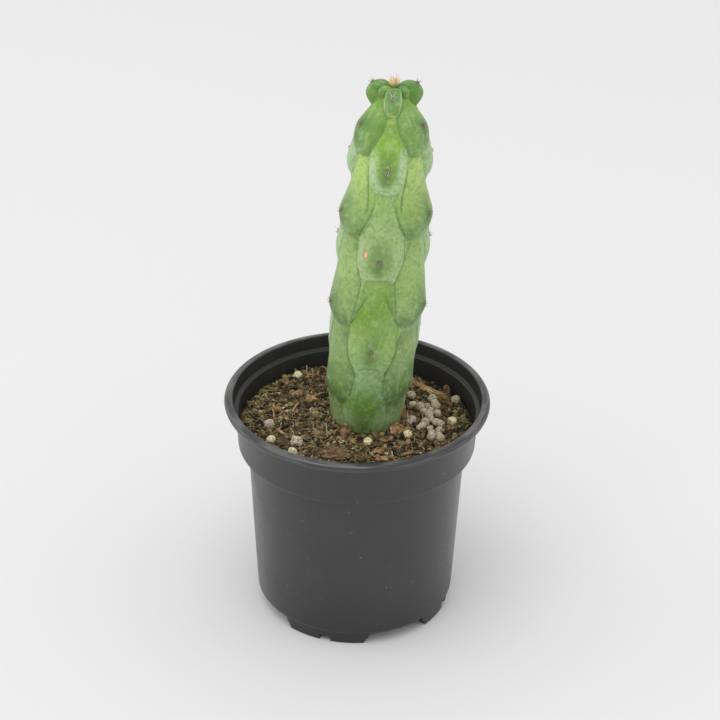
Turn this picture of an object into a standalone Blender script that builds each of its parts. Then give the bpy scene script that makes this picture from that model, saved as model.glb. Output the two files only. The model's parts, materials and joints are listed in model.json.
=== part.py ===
"""A column cactus with breast-shaped tubercles, growing in a plastic nursery pot.

Metres, +Z up, at real size. The origin is the middle of the pot's footprint on the surface
that it stands on, and -Y is the front. Azimuths are counted from the front towards +X.
"""

import math
import random
from typing import NamedTuple

import bmesh
import bpy
import numpy as np
from mathutils import Matrix, Vector

MM = 0.001
GAP = 0.3 * MM  # clearance between pieces that touch

# Pot: radii and heights
POT_HEIGHT = 97.6 * MM
LIP_RADIUS = 55.0 * MM
MOUTH_RADIUS = 51.4 * MM
LIP_DROP = 3.1 * MM  # the lip's lower edge, below its top
LEDGE_DROP = 6.0 * MM  # the stacking ledge inside the mouth, below the top
COLLAR_RADIUS = 51.9 * MM
BAND_TOP_RADIUS = 50.3 * MM
BAND_FOOT_RADIUS = 49.4 * MM
BAND_FOOT = 76.0 * MM
BODY_TOP_RADIUS = 45.2 * MM
BODY_FOOT_RADIUS = 41.7 * MM
WALL = 1.2 * MM
FOOT_HEIGHT = 6.0 * MM
FOOT_RADIUS = 40.5 * MM
FOOT_DEPTH = 3.3 * MM  # radial thickness of the foot ring
FLOOR_UNDERSIDE = 3.5 * MM
FLOOR_TOP = 5.0 * MM
FLOOR_RECESS = 0.25 * MM  # of the floor's edge between the feet
FLOOR_CORNER = 1.6 * MM  # where the wall's inside meets the floor
POT_SIDES = 48

# Pot: openings in its foot ring and floor
FOOT_COUNT = 4
FIRST_FOOT_AZIMUTH = math.radians(-17.5)
FOOT_GAP_HALF_ANGLE = math.radians(17.0)
FOOT_END_SLOPE = math.radians(4.5)  # how much wider the gap is at the bottom, each side
FOOT_NOTCH_HALF_ANGLE = math.radians(3.5)
FOOT_NOTCH_HEIGHT = 2.4 * MM
DRAIN_RADIUS = 31.0 * MM
DRAIN_WIDTH = 3.5 * MM
DRAIN_HALF_ANGLE = math.radians(13.0)
CENTRE_DRAIN_RADIUS = 1.8 * MM

# Stem: the axis is upright at its foot, then leans towards +X and straightens as it rises
AXIS_X = 4.0 * MM
AXIS_Y = 2.0 * MM
AXIS_START = 97.0 * MM
AXIS_LEAN = 0.09
AXIS_BEND = -0.2  # per metre of height

# Stem: the core, which the creases between the lobes follow
ROOT_END = 70.0 * MM
BELLY_HEIGHT = 128.0 * MM
BELLY_RADIUS = 16.6 * MM
BASE_TAPER = 9.0 * MM  # how much thinner the core is, the span below the belly
BASE_SPAN = 62.0 * MM
SHOULDER_HEIGHT = 205.0 * MM
SHOULDER_RADIUS = 12.2 * MM
CROWN_HEIGHT = 233.4 * MM
DOME_TOP, DOME_SIDE = 1.4, 0.6  # exponents of the dome over the shoulder
STEM_SIDES = 60
STEM_RINGS = 60

# Stem: two sets of three ribs, whose whorls of lobes alternate up the stem. In the youngest
# whorl of the first set, the bud at the front is younger than the pair at the back
RIB_SETS = (
    tuple(math.radians(angle) for angle in (-4.4, -113.5, 108.0)),
    tuple(math.radians(angle) for angle in (-64.5, 59.0, 178.0)),
    (math.radians(-4.4),),
    tuple(math.radians(angle) for angle in (-113.5, 108.0)),
)
FRONT_SET, SIDE_SET, FRONT_BUD, BACK_BUDS = range(4)


class Whorl(NamedTuple):
    """The lobes at one height on one set of ribs, in millimetres."""

    ribs: int
    height: float  # of the areole
    radius: float  # of the areole, from the axis
    half_width: float  # of the lobe, over its widest part
    neck_half_width: float
    neck_rise: float  # of the rib over the core, just under the lobe above
    chin: float  # length of the rounded part below the areole
    bend: float  # of the slope above the areole: hollow over 1, bulging under 1
    slope: float  # length from the areole up to the chin of the lobe above it
    softness: float  # of the chin: it ends in a step near 0.5 and runs out flat over 1


WHORLS = (
    Whorl(SIDE_SET, 234.8, 4.8, 2.8, 2.0, 1.2, 2.8, 0.7, 4.1, 0.62),
    Whorl(FRONT_BUD, 232.8, 8.4, 4.5, 1.8, 2.0, 7.6, 0.42, 9.0, 0.62),
    Whorl(BACK_BUDS, 235.6, 8.2, 4.5, 3.8, 3.4, 8.4, 0.4, 8.0, 0.75),
    Whorl(SIDE_SET, 221.2, 13.9, 9.8, 5.4, 1.5, 12.5, 1.3, 10.4, 0.6),
    Whorl(FRONT_SET, 205.4, 17.3, 9.0, 2.4, 2.0, 11.5, 1.2, 23.5, 1.0),
    Whorl(SIDE_SET, 185.6, 19.2, 12.4, 7.0, 0.6, 12.0, 2.7, 24.1, 1.05),
    Whorl(FRONT_SET, 168.1, 19.4, 10.8, 5.4, 1.4, 12.5, 1.4, 26.8, 1.5),
    Whorl(SIDE_SET, 145.9, 20.6, 12.0, 5.4, 1.4, 10.6, 1.8, 29.7, 1.1),
    Whorl(FRONT_SET, 127.4, 18.7, 10.8, 5.8, 1.9, 13.0, 1.4, 31.2, 1.7),
    Whorl(SIDE_SET, 108.7, 18.5, 11.4, 6.6, 0.3, 9.8, 1.8, 27.7, 0.9),
    Whorl(FRONT_SET, 93.0, 15.9, 10.0, 5.0, 1.2, 11.0, 1.4, 24.9, 1.0),
    Whorl(SIDE_SET, 77.0, 13.6, 9.0, 5.8, 0.5, 8.0, 1.4, 22.4, 1.0),
)
LOBE_FLARE = 0.75  # share of the slope, from the neck down, over which a lobe widens
LOBE_SWAY = 0.13  # how much wider a side lobe is towards the front than towards the back
SWAY_REACH = 3.0 * MM
DROOP_HEIGHTS = (76.0 * MM, 233.0 * MM)
DROOP = (0.05, 0.2)  # how far a lobe hangs for each unit that it stands out, at those heights
FLANK_HEIGHTS = (168.0, 235.0)  # millimetres
FLANK = (0.9, 0.5)  # exponent of a lobe's section at those heights: fuller when small
CHIN_SWELL = 1.08
CHIN_CURVE = 2.4  # exponent of the chin's outline
CHIN_CLOSING = 0.93  # share of that outline that the chin's U takes
NECK_SHARES = (0.05, 0.95)  # least and most rise of a neck, as a share of its lobe's
SLOPE_TO_CHIN = 0.05  # rounding between them, as a share of the lobe's rise
CREASE_DEPTH = 0.6 * MM  # how far beneath the core a lobe's surroundings start
CREASE_ROUNDING = 0.3 * MM  # at the crown's lobes
OLD_CREASE_ROUNDING = 0.9 * MM  # on the older, swollen ones
ROUNDING_HEIGHTS = (196.0 * MM, 222.0 * MM)
CROWN_FADE = 1.6 * MM
LOBES_FADE = (80.0 * MM, 87.0 * MM)  # under the soil the stem is plain

# Spines: three on each areole, and a tuft on the crown
SPINE_LENGTH = 2.3 * MM
SPINE_RADIUS = 0.3 * MM
SPINE_ROOT = 0.9 * MM
SPINE_SPREAD = 1.2 * MM  # how far apart the roots of one areole's spines are
SPINE_LEANS = ((-0.75, 0.1), (0.0, 0.5), (0.75, 0.1))  # sideways and up, for an areole's spines
SPINE_UPTURN = 0.25
AREOLE_TURN, AREOLE_STEP = 0.03, 0.3 * MM  # radians and metres over which the skin's tilt is found
CROWN_SPINES = 5
CROWN_SPREAD = 1.2 * MM
CROWN_STEEPNESS = 2.5
CROWN_SPINE_GROWTH = 1.3  # how much longer the crown's spines are

# Soil: it is heaped round the stem and at one place by the wall, and falls towards +X and +Y
SOIL_LEVEL = 83.2 * MM
SOIL_AT_STEM = 5.0 * MM
SOIL_HEAP_SPREAD = 24.0 * MM
SOIL_MOUND = (-23.5 * MM, 41.0 * MM, 1.9 * MM, 7.0 * MM)  # x, y, rise, spread
SOIL_TILT = 0.022
SOIL_SIDES = 48
SOIL_TOP_RINGS = 9
SOIL_RELIEF = 0.35 * MM
SOIL_WAVES = (3.1 * MM, 3.7 * MM, 5.3 * MM)
SOIL_EDGE_FLARE = 0.2 * MM  # how much wider the fill is at its surface than just under it
HOLE_DEPTH = 24.0 * MM  # length of the stem that the hole is fitted to, from the root's end
HOLE_STEPS = 49
HOLE_CLEARANCE = 0.15 * MM

# Loose pieces that lie on the soil: x and y of the middle, in millimetres
PRILL_RADIUS = 2.05 * MM
PRILL_HEAP = (
    (31.8, 18.0), (32.6, 14.8), (33.2, 11.7), (29.8, 10.2), (26.6, 9.1), (28.0, 6.0), (31.2, 7.2),
    (30.4, 3.9), (34.0, 5.4), (30.9, 0.9), (32.1, -2.0), (34.9, -2.5), (28.7, -2.8), (27.6, -6.1),
    (30.6, -7.4), (34.0, -7.6), (31.0, -10.5), (33.9, -10.6), (31.0, -13.6), (34.5, -13.5),
)
SINGLE_PRILLS = ((22.8, 18.6), (41.7, 18.2))
PRILL_CLEARANCE = 0.55 * MM  # over the soil's relief
GRAIN_RISE = 0.35  # of its radius: a grain lies a little more than half out of the soil
CHIP_RISE = 0.5 * MM
SOCKET_GROWTH = 1.35 * GAP


class Grain(NamedTuple):
    """A rounded grain of perlite or pumice: place and radius in millimetres."""

    x: float
    y: float
    radius: float


PERLITE = (
    Grain(39.6, 2.6, 2.0), Grain(23.4, 13.4, 1.6), Grain(20.9, -11.0, 1.7), Grain(4.6, -18.9, 1.9),
    Grain(-26.0, 35.6, 1.9), Grain(-35.0, -15.9, 2.0), Grain(-25.9, -24.6, 1.9),
)
PUMICE = (Grain(22.6, -0.8, 2.1), Grain(-36.5, -4.0, 2.1), Grain(-24.4, -18.0, 2.4))


class Chip(NamedTuple):
    """A flat chip of bark: place and size in millimetres, turns in degrees."""

    x: float
    y: float
    length: float
    width: float
    turn: float  # round the vertical
    tilt: float  # of its length
    roll: float  # of its width


BARK_CHIPS = (
    Chip(-8.2, -26.6, 13.4, 8.0, -4.0, 4.0, 8.0),
    Chip(9.3, -23.3, 6.4, 5.4, 70.0, 10.0, 0.0),
    Chip(10.4, -29.0, 5.4, 2.8, 12.0, 4.0, 0.0),
    Chip(14.2, -19.6, 8.8, 2.2, -27.0, 4.0, 0.0),
    Chip(16.4, -10.4, 9.0, 4.2, 58.0, 6.0, 42.0),
    Chip(-24.2, 21.6, 5.6, 3.8, 30.0, 10.0, 0.0),
    Chip(-34.0, 8.2, 6.0, 4.0, 80.0, 8.0, 0.0),
    Chip(-30.6, -10.8, 8.6, 1.8, -53.0, 4.0, 0.0),
    Chip(-19.0, 15.2, 6.0, 4.4, 35.0, 10.0, 0.0),
)
CHIP_THICKNESS = 1.8 * MM
SLIVER_WIDTH = 3.0  # millimetres: a chip that is narrower is a sliver
SLIVER_THICKNESS = 1.1 * MM
CHIP_OUTLINE = ((-0.5, -0.18), (-0.3, -0.5), (0.28, -0.46), (0.5, -0.05), (0.34, 0.44), (-0.24, 0.5))

# The long shred of coir at the back: points of its route in millimetres, and its section
SHRED_ROUTE = ((23.0, 37.0), (28.0, 31.6), (33.4, 26.0), (37.4, 17.8))
SHRED_WIDTH = 3.0 * MM
SHRED_THICKNESS = 1.3 * MM
SHRED_STEPS = 12
SHRED_END = 0.35  # width of its ends, as a share of its middle
SHRED_SOCKET = 1.3 * GAP


def clear_scene():
    for old in list(bpy.data.objects):
        bpy.data.objects.remove(old, do_unlink=True)


def make_material(name, colour, roughness):
    """A Principled material; the colour is linear RGB."""
    material = bpy.data.materials.new(name)
    material.use_nodes = True
    shader = material.node_tree.nodes["Principled BSDF"]
    shader.inputs["Base Color"].default_value = (*colour, 1.0)
    shader.inputs["Roughness"].default_value = roughness
    shader.inputs["Metallic"].default_value = 0.0
    material.diffuse_color = (*colour, 1.0)
    return material


def add_object(name, mesh, material, collection=None):
    made = bpy.data.objects.new(name, mesh)
    (collection or bpy.context.scene.collection).objects.link(made)
    if material:
        mesh.materials.append(material)
    return made


def mesh_from(name, points, faces, sharp_degrees=35.0):
    """A smooth-shaded mesh from points and faces."""
    mesh = bpy.data.meshes.new(name)
    mesh.from_pydata([tuple(point) for point in points], [], [tuple(face) for face in faces])
    mesh.validate()
    mesh.shade_smooth()
    mesh.set_sharp_from_angle(angle=math.radians(sharp_degrees))
    return mesh


def facing_out(mesh):
    """The closed mesh as triangles whose normals face outward."""
    shape = bmesh.new()
    shape.from_mesh(mesh)
    bmesh.ops.triangulate(shape, faces=shape.faces)
    bmesh.ops.recalc_face_normals(shape, faces=shape.faces)
    shape.to_mesh(mesh)
    shape.free()
    return mesh


def add_cutter(name, mesh, collection):
    """A closed mesh that a Boolean takes away, left out of renders."""
    cutter = add_object(name, mesh, None, collection)
    cutter.hide_render = True
    cutter.display_type = "WIRE"


def new_collection(name):
    collection = bpy.data.collections.new(name)
    bpy.context.scene.collection.children.link(collection)
    return collection


def cut_with(target, collection):
    """A live Boolean that takes every cutter of the collection away."""
    boolean = target.modifiers.new("Cut", "BOOLEAN")
    boolean.operation = "DIFFERENCE"
    boolean.operand_type = "COLLECTION"
    boolean.collection = collection
    boolean.solver = "EXACT"


def join_with(target, collection):
    """The target joined with every object of the collection, which is then removed."""
    boolean = target.modifiers.new("Join", "BOOLEAN")
    boolean.operation = "UNION"
    boolean.operand_type = "COLLECTION"
    boolean.collection = collection
    boolean.solver = "EXACT"
    bpy.context.view_layer.update()
    graph = bpy.context.evaluated_depsgraph_get()
    joined = bpy.data.meshes.new_from_object(target.evaluated_get(graph))
    target.modifiers.remove(boolean)
    target.data = joined
    for piece in list(collection.objects):
        bpy.data.objects.remove(piece, do_unlink=True)
    bpy.data.collections.remove(collection)


def ring_faces(rings, sides, closed):
    """Quads between neighbouring rings of points; closed also joins the last ring to the first."""
    faces = []
    for ring in range(rings if closed else rings - 1):
        following = (ring + 1) % rings
        for side in range(sides):
            beside = (side + 1) % sides
            faces.append((
                ring * sides + side, ring * sides + beside,
                following * sides + beside, following * sides + side,
            ))
    return faces


def on_circle(azimuth, radius):
    return radius * math.sin(azimuth), -radius * math.cos(azimuth)


def turned_mesh(name, profile, sides):
    """A closed loop of (radius, height), listed down the inside and up the outside, turned round Z."""
    points = []
    for radius, height in profile:
        for side in range(sides):
            x, y = on_circle(2 * math.pi * side / sides, radius)
            points.append((x, y, height))
    return mesh_from(name, points, ring_faces(len(profile), sides, closed=True))


def sector_mesh(name, profile, azimuth, half_angle, slope=0.0, steps=6):
    """A loop of (radius, height) swept round Z between two azimuths, for a cutter.

    slope widens the sector, on each side, as it goes from FOOT_HEIGHT down to the ground.
    """
    points = []
    for step in range(steps + 1):
        for radius, height in profile:
            widening = slope * (1.0 - height / FOOT_HEIGHT)
            angle = azimuth + (half_angle + widening) * (2.0 * step / steps - 1.0)
            points.append((*on_circle(angle, radius), height))
    count = len(profile)
    faces = ring_faces(steps + 1, count, closed=False)
    faces.append(tuple(reversed(range(count))))
    faces.append(tuple(range(steps * count, (steps + 1) * count)))
    return facing_out(mesh_from(name, points, faces))


def body_radius(height):
    """Outer radius of the pot's tapered body."""
    share = (height - FOOT_HEIGHT) / (BAND_FOOT - FOOT_HEIGHT)
    return BODY_FOOT_RADIUS + (BODY_TOP_RADIUS - BODY_FOOT_RADIUS) * share


def inner_profile():
    """The pot's inside below the ledge, from the floor up, as (radius, height)."""
    low = FLOOR_TOP + FLOOR_CORNER
    eased = 0.3 * FLOOR_CORNER
    return [
        (body_radius(low) - WALL - FLOOR_CORNER, FLOOR_TOP),
        (body_radius(low) - WALL - eased, FLOOR_TOP + eased),
        (body_radius(low) - WALL, low),
        (body_radius(BAND_FOOT - 1.2 * MM) - WALL, BAND_FOOT - 1.2 * MM),
        (body_radius(BAND_FOOT) - WALL + 0.4 * MM, BAND_FOOT + 0.2 * MM),
        (BAND_FOOT_RADIUS - WALL - 0.5 * MM, BAND_FOOT + 1.0 * MM),
        (BAND_FOOT_RADIUS - WALL, BAND_FOOT + 1.9 * MM),
        (BAND_TOP_RADIUS - WALL, POT_HEIGHT - LEDGE_DROP - 0.5 * MM),
    ]


def pot_profile():
    """The whole section of the pot's wall: down the inside, across the floor, up the outside."""
    ledge = POT_HEIGHT - LEDGE_DROP
    inside = [
        (MOUTH_RADIUS + 0.5 * MM, POT_HEIGHT),
        (MOUTH_RADIUS, POT_HEIGHT - 0.4 * MM),
        (MOUTH_RADIUS - 0.5 * MM, ledge + 0.3 * MM),
        (MOUTH_RADIUS - 0.8 * MM, ledge),
        *reversed(inner_profile()),
        (CENTRE_DRAIN_RADIUS, FLOOR_TOP),
    ]
    foot = [
        (CENTRE_DRAIN_RADIUS, FLOOR_UNDERSIDE),
        (FOOT_RADIUS - FOOT_DEPTH, FLOOR_UNDERSIDE),
        (FOOT_RADIUS - FOOT_DEPTH + 0.3 * MM, 0.0),
        (FOOT_RADIUS - 0.3 * MM, 0.0),
        (FOOT_RADIUS, FOOT_HEIGHT - 0.1 * MM),
        (BODY_FOOT_RADIUS - 0.3 * MM, FOOT_HEIGHT),
        (BODY_FOOT_RADIUS + 0.05 * MM, FOOT_HEIGHT + 0.7 * MM),
    ]
    outside = [
        (BODY_TOP_RADIUS, BAND_FOOT - 1.6 * MM),
        (BODY_TOP_RADIUS + 0.5 * MM, BAND_FOOT - 0.9 * MM),
        (BAND_FOOT_RADIUS - 1.0 * MM, BAND_FOOT - 0.4 * MM),
        (BAND_FOOT_RADIUS - 0.2 * MM, BAND_FOOT),
        (BAND_FOOT_RADIUS, BAND_FOOT + 0.8 * MM),
        (BAND_TOP_RADIUS, ledge - 0.9 * MM),
        (COLLAR_RADIUS, ledge - 0.5 * MM),
        (COLLAR_RADIUS + 0.3 * MM, POT_HEIGHT - 1.9 * MM),
        (LIP_RADIUS - 1.6 * MM, POT_HEIGHT - 1.9 * MM),
        (LIP_RADIUS - 1.2 * MM, POT_HEIGHT - LIP_DROP),
        (LIP_RADIUS - 0.5 * MM, POT_HEIGHT - LIP_DROP),
        (LIP_RADIUS, POT_HEIGHT - 1.6 * MM),
        (LIP_RADIUS - 0.6 * MM, POT_HEIGHT - 0.6 * MM),
        (LIP_RADIUS - 1.7 * MM, POT_HEIGHT - 0.1 * MM),
    ]
    return inside + foot + outside


def foot_azimuths(shift):
    """Azimuths round the foot ring; a shift of 0.5 gives the gaps between the feet."""
    step = 2 * math.pi / FOOT_COUNT
    return [FIRST_FOOT_AZIMUTH + (index + shift) * step for index in range(FOOT_COUNT)]


def make_pot(material):
    """The turned shell, with gaps and notches in its foot ring and slots in its floor."""
    pot = add_object("pot", turned_mesh("pot", pot_profile(), POT_SIDES), material)
    cutters = new_collection("pot_cutters")
    below = -2.0 * MM
    inner = FOOT_RADIUS - FOOT_DEPTH - 0.9 * MM
    outer = BODY_FOOT_RADIUS + 2.0 * MM
    recess = FLOOR_UNDERSIDE + FLOOR_RECESS
    gap = [
        (inner, below), (inner, recess), (inner + 2.2 * MM, recess),
        (outer, FOOT_HEIGHT + 1.0 * MM), (outer, below),
    ]
    notch = [(inner, below), (inner, FOOT_NOTCH_HEIGHT), (outer, FOOT_NOTCH_HEIGHT), (outer, below)]
    low, high = FLOOR_UNDERSIDE - 1.0 * MM, FLOOR_TOP + 1.0 * MM
    near, far = DRAIN_RADIUS - DRAIN_WIDTH / 2, DRAIN_RADIUS + DRAIN_WIDTH / 2
    slot = [(near, low), (near, high), (far, high), (far, low)]
    for index, azimuth in enumerate(foot_azimuths(0.5)):
        mesh = sector_mesh("foot_gap", gap, azimuth, FOOT_GAP_HALF_ANGLE, FOOT_END_SLOPE)
        add_cutter(f"cut_foot_gap_{index}", mesh, cutters)
        add_cutter(f"cut_drain_{index}", sector_mesh("drain", slot, azimuth, DRAIN_HALF_ANGLE), cutters)
    for index, azimuth in enumerate(foot_azimuths(0.0)):
        mesh = sector_mesh("foot_notch", notch, azimuth, FOOT_NOTCH_HALF_ANGLE, steps=2)
        add_cutter(f"cut_foot_notch_{index}", mesh, cutters)
    cut_with(pot, cutters)


def axis_x(height):
    """The stem's axis in X: upright at the foot, then a lean that straightens with height."""
    rise = np.maximum(height - AXIS_START, 0.0)
    return AXIS_X + AXIS_LEAN * rise + AXIS_BEND * rise * rise


def core_radius(height):
    """A barrel up to the shoulder, then a dome that closes at the crown."""
    below = BELLY_RADIUS - BASE_TAPER * ((BELLY_HEIGHT - height) / BASE_SPAN) ** 2
    span = SHOULDER_HEIGHT - BELLY_HEIGHT
    drop = BELLY_RADIUS - SHOULDER_RADIUS
    barrel = BELLY_RADIUS - drop * ((height - BELLY_HEIGHT) / span) ** 2
    up = np.clip((height - SHOULDER_HEIGHT) / (CROWN_HEIGHT - SHOULDER_HEIGHT), 0.0, 1.0)
    dome = SHOULDER_RADIUS * (1.0 - up**DOME_TOP) ** DOME_SIDE
    return np.where(height < BELLY_HEIGHT, below, np.where(up > 0, dome, barrel))


class Core:
    """The core's outline by arc length, with its outward normal, from the root to the crown."""

    def __init__(self, samples=4000):
        height = np.linspace(ROOT_END, CROWN_HEIGHT, samples)
        radius = core_radius(height)
        steps = np.hypot(np.diff(height), np.diff(radius))
        self.along = np.concatenate([[0.0], np.cumsum(steps)])
        self.height, self.radius = height, radius
        self.length = self.along[-1]
        slope_r, slope_z = np.gradient(radius, self.along), np.gradient(height, self.along)
        size = np.hypot(slope_r, slope_z)
        self.normal_r, self.normal_z = slope_z / size, -slope_r / size

    def at(self, along):
        """Radius, height, normal radius and normal height at these arc lengths."""
        values = (self.radius, self.height, self.normal_r, self.normal_z)
        return [np.interp(along, self.along, value) for value in values]


def droop_at(height):
    """How far a lobe hangs down for each unit that it stands out: more near the crown."""
    share = (height - DROOP_HEIGHTS[0]) / (DROOP_HEIGHTS[1] - DROOP_HEIGHTS[0])
    return DROOP[0] + (DROOP[1] - DROOP[0]) * share


def ease(share):
    """A smooth rise from 0 to 1 over shares from 0 to 1."""
    share = np.clip(share, 0.0, 1.0)
    return share * share * (3.0 - 2.0 * share)


def soft_min(first, second, rounding):
    least = np.minimum(first, second)
    return least - rounding * np.log(
        np.exp((least - first) / rounding) + np.exp((least - second) / rounding)
    )


def anchor_of(whorl, core):
    """Arc length and rise at which the core's normal, with the droop, meets the areole."""
    radius, height = whorl.radius * MM, whorl.height * MM
    rise = np.hypot(radius - core.radius, height - core.height)
    out_r = radius - core.radius
    out_z = height + droop_at(height) * rise - core.height
    miss = np.abs(out_r * -core.normal_z + out_z * core.normal_r)
    out = out_r * core.normal_r + out_z * core.normal_z
    best = int(np.argmin(np.where(out > 0, miss, 1.0)))
    return core.along[best], out[best]


def lobe_height(whorl, azimuth, theta, along, radius, core):
    """Rise of one lobe over the core: a long slope down to the areole, then a rounded chin.

    Across, the lobe is a dome that widens from its neck to the areole and closes in a U.
    """
    start, rise = anchor_of(whorl, core)
    slope, chin = whorl.slope * MM, whorl.chin * MM
    neck_share = min(max(whorl.neck_rise * MM / rise, NECK_SHARES[0]), NECK_SHARES[1])
    turn = (theta - azimuth + math.pi) % (2 * math.pi) - math.pi
    across = turn * (np.maximum(radius, 2.0 * MM) + 0.5 * rise)
    up = np.maximum((along - start) / slope, 0.0)
    down = np.maximum((start - along) / chin, 0.0)
    left = np.maximum(1.0 - up, 0.0)
    above = neck_share + (1.0 - neck_share) * left**whorl.bend
    above = above - 2.0 * np.maximum(up - 1.0, 0.0)
    above = above + down * (chin / slope) * (1.0 - neck_share) * whorl.bend
    outline = np.maximum(1.0 - np.minimum(down, 1.0) ** CHIN_CURVE, 0.0)
    below = CHIN_SWELL * outline**whorl.softness
    below = below - 3.0 * np.maximum(down - 1.0, 0.0)
    length_wise = soft_min(above, below, SLOPE_TO_CHIN)
    widest, neck = whorl.half_width * MM, whorl.neck_half_width * MM
    upper = neck + (widest - neck) * ease(left / LOBE_FLARE)
    closing = (CHIN_CLOSING * np.minimum(down, 1.0)) ** CHIN_CURVE
    lower = widest * np.maximum(1.0 - closing, 0.02) ** 0.5
    sway = LOBE_SWAY * (whorl.ribs == SIDE_SET) * (-1.0 if azimuth > 0 else 1.0)
    width = np.where(along >= start, upper, lower) * (1.0 + sway * np.tanh(across / SWAY_REACH))
    dome = 1.0 - (across / width) ** 2
    flank = float(np.interp(whorl.height, FLANK_HEIGHTS, FLANK))
    inside = (dome > 0) & (length_wise > 0)
    filled = rise * length_wise * np.abs(dome) ** flank
    outside = 0.8 * rise * np.minimum(dome, 0.0) + rise * np.minimum(length_wise, 0.0)
    return np.where(inside, filled, outside - CREASE_DEPTH)


def stem_surface(theta, along, core):
    """Points of the stem's skin at these azimuths and arc lengths (arrays of one shape)."""
    radius, height, normal_r, normal_z = core.at(along)
    rises, droops = [np.zeros(theta.shape)], [np.zeros(theta.shape)]
    for whorl in WHORLS:
        for azimuth in RIB_SETS[whorl.ribs]:
            rises.append(lobe_height(whorl, azimuth, theta, along, radius, core))
            droops.append(np.full(theta.shape, droop_at(whorl.height * MM)))
    rises = np.array(rises)
    highest = rises.max(axis=0)
    rounding = np.interp(height, ROUNDING_HEIGHTS, (OLD_CREASE_ROUNDING, CREASE_ROUNDING))
    weights = np.exp((rises - highest) / rounding)
    total = weights.sum(axis=0)
    rise = highest + rounding * np.log(total)
    droop = (weights * np.array(droops)).sum(axis=0) / total
    fade = ease((height - LOBES_FADE[0]) / (LOBES_FADE[1] - LOBES_FADE[0]))
    rise = rise * fade * (1.0 - np.exp(-((radius / CROWN_FADE) ** 2)))
    out = radius + rise * normal_r
    x = axis_x(height) + out * np.sin(theta)
    y = AXIS_Y - out * np.cos(theta)
    return np.stack([x, y, height + rise * normal_z - droop * rise], axis=-1)


def make_spine(root, direction, length, collection):
    """A three-sided needle whose root is sunk in the skin."""
    turn = Vector(direction).to_track_quat("Z", "Y").to_matrix()
    points = [Vector(on_circle(2 * math.pi * side / 3, SPINE_RADIUS) + (-SPINE_ROOT,)) for side in range(3)]
    points.append(Vector((0.0, 0.0, length)))
    placed = [turn @ point + Vector(root) for point in points]
    mesh = mesh_from("spine", placed, [(0, 2, 1), (0, 1, 3), (1, 2, 3), (2, 0, 3)])
    add_object("spine", mesh, None, collection)


def areole_frames(core):
    """Place, outward direction and sideways direction of each areole between crown and soil."""
    frames = []
    for whorl in WHORLS[1:-1]:
        start, _ = anchor_of(whorl, core)
        for azimuth in RIB_SETS[whorl.ribs]:
            theta = azimuth + AREOLE_TURN * np.array([0.0, 1.0, -1.0, 0.0, 0.0])
            along = start + AREOLE_STEP * np.array([0.0, 0.0, 0.0, 1.0, -1.0])
            skin = stem_surface(theta, along, core)
            side = Vector(skin[1] - skin[2]).normalized()
            out = side.cross(Vector(skin[3] - skin[4])).normalized()
            frames.append((Vector(skin[0]), out, side))
    return frames


def make_stem(material):
    """The whole column: a skin of lobes over the core, with its spines joined to it."""
    core = Core()
    theta = np.linspace(0.0, 2 * math.pi, STEM_SIDES, endpoint=False)
    along = np.linspace(0.0, core.length, STEM_RINGS)[:-1]
    grid_along, grid_theta = np.meshgrid(along, theta, indexing="ij")
    skin = stem_surface(grid_theta, grid_along, core).reshape(-1, 3)
    crown = (axis_x(CROWN_HEIGHT), AXIS_Y, CROWN_HEIGHT)
    root = (AXIS_X, AXIS_Y, ROOT_END)
    points = [*skin, crown, root]
    faces = ring_faces(len(along), STEM_SIDES, closed=False)
    last = (len(along) - 1) * STEM_SIDES
    for side in range(STEM_SIDES):
        beside = (side + 1) % STEM_SIDES
        faces.append((last + side, last + beside, len(skin)))
        faces.append((beside, side, len(skin) + 1))
    stem = add_object("stem", mesh_from("stem", points, faces, 60.0), material)
    spines = new_collection("spines")
    for place, out, side in areole_frames(core):
        for lean, lift in SPINE_LEANS:
            root = place + lean * SPINE_SPREAD * side + Vector((0.0, 0.0, lift * SPINE_SPREAD))
            direction = out + lean * side + Vector((0.0, 0.0, SPINE_UPTURN))
            make_spine(root, direction, SPINE_LENGTH, spines)
    for index in range(CROWN_SPINES):
        x, y = on_circle(2 * math.pi * index / CROWN_SPINES, CROWN_SPREAD)
        root = Vector(crown) + Vector((x, y, 0.0))
        direction = Vector((x, y, CROWN_STEEPNESS * CROWN_SPREAD))
        make_spine(root, direction, CROWN_SPINE_GROWTH * SPINE_LENGTH, spines)
    join_with(stem, spines)


def soil_height(x, y):
    """Level of the soil: heaped round the stem and at one place by the wall, with a gentle relief."""
    mound_x, mound_y, mound_rise, mound_spread = SOIL_MOUND
    from_stem = np.hypot(x - AXIS_X, y - AXIS_Y)
    from_mound = np.hypot(x - mound_x, y - mound_y)
    level = SOIL_LEVEL + SOIL_AT_STEM * np.exp(-((from_stem / SOIL_HEAP_SPREAD) ** 2))
    level = level + mound_rise * np.exp(-((from_mound / mound_spread) ** 2))
    level = level - SOIL_TILT * (x + 0.5 * y)
    first, second, third = SOIL_WAVES
    waves = np.sin(x / first + 0.6) * np.cos(y / second) + np.sin((x - 2 * y) / third)
    return level + 0.5 * SOIL_RELIEF * waves


def hole_radius(theta, core):
    """Radius of the hole round the stem: its widest section up to the soil, and a clearance."""
    along = np.linspace(0.0, HOLE_DEPTH, HOLE_STEPS)
    grid_along, grid_theta = np.meshgrid(along, theta, indexing="ij")
    skin = stem_surface(grid_theta, grid_along, core)
    reach = np.hypot(skin[..., 0] - AXIS_X, skin[..., 1] - AXIS_Y)
    edge_x = AXIS_X + BELLY_RADIUS * np.sin(theta)
    edge_y = AXIS_Y - BELLY_RADIUS * np.cos(theta)
    buried = skin[..., 2] < soil_height(edge_x, edge_y) + 1.0 * MM
    return np.where(buried, reach, 0.0).max(axis=0) + GAP


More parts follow.
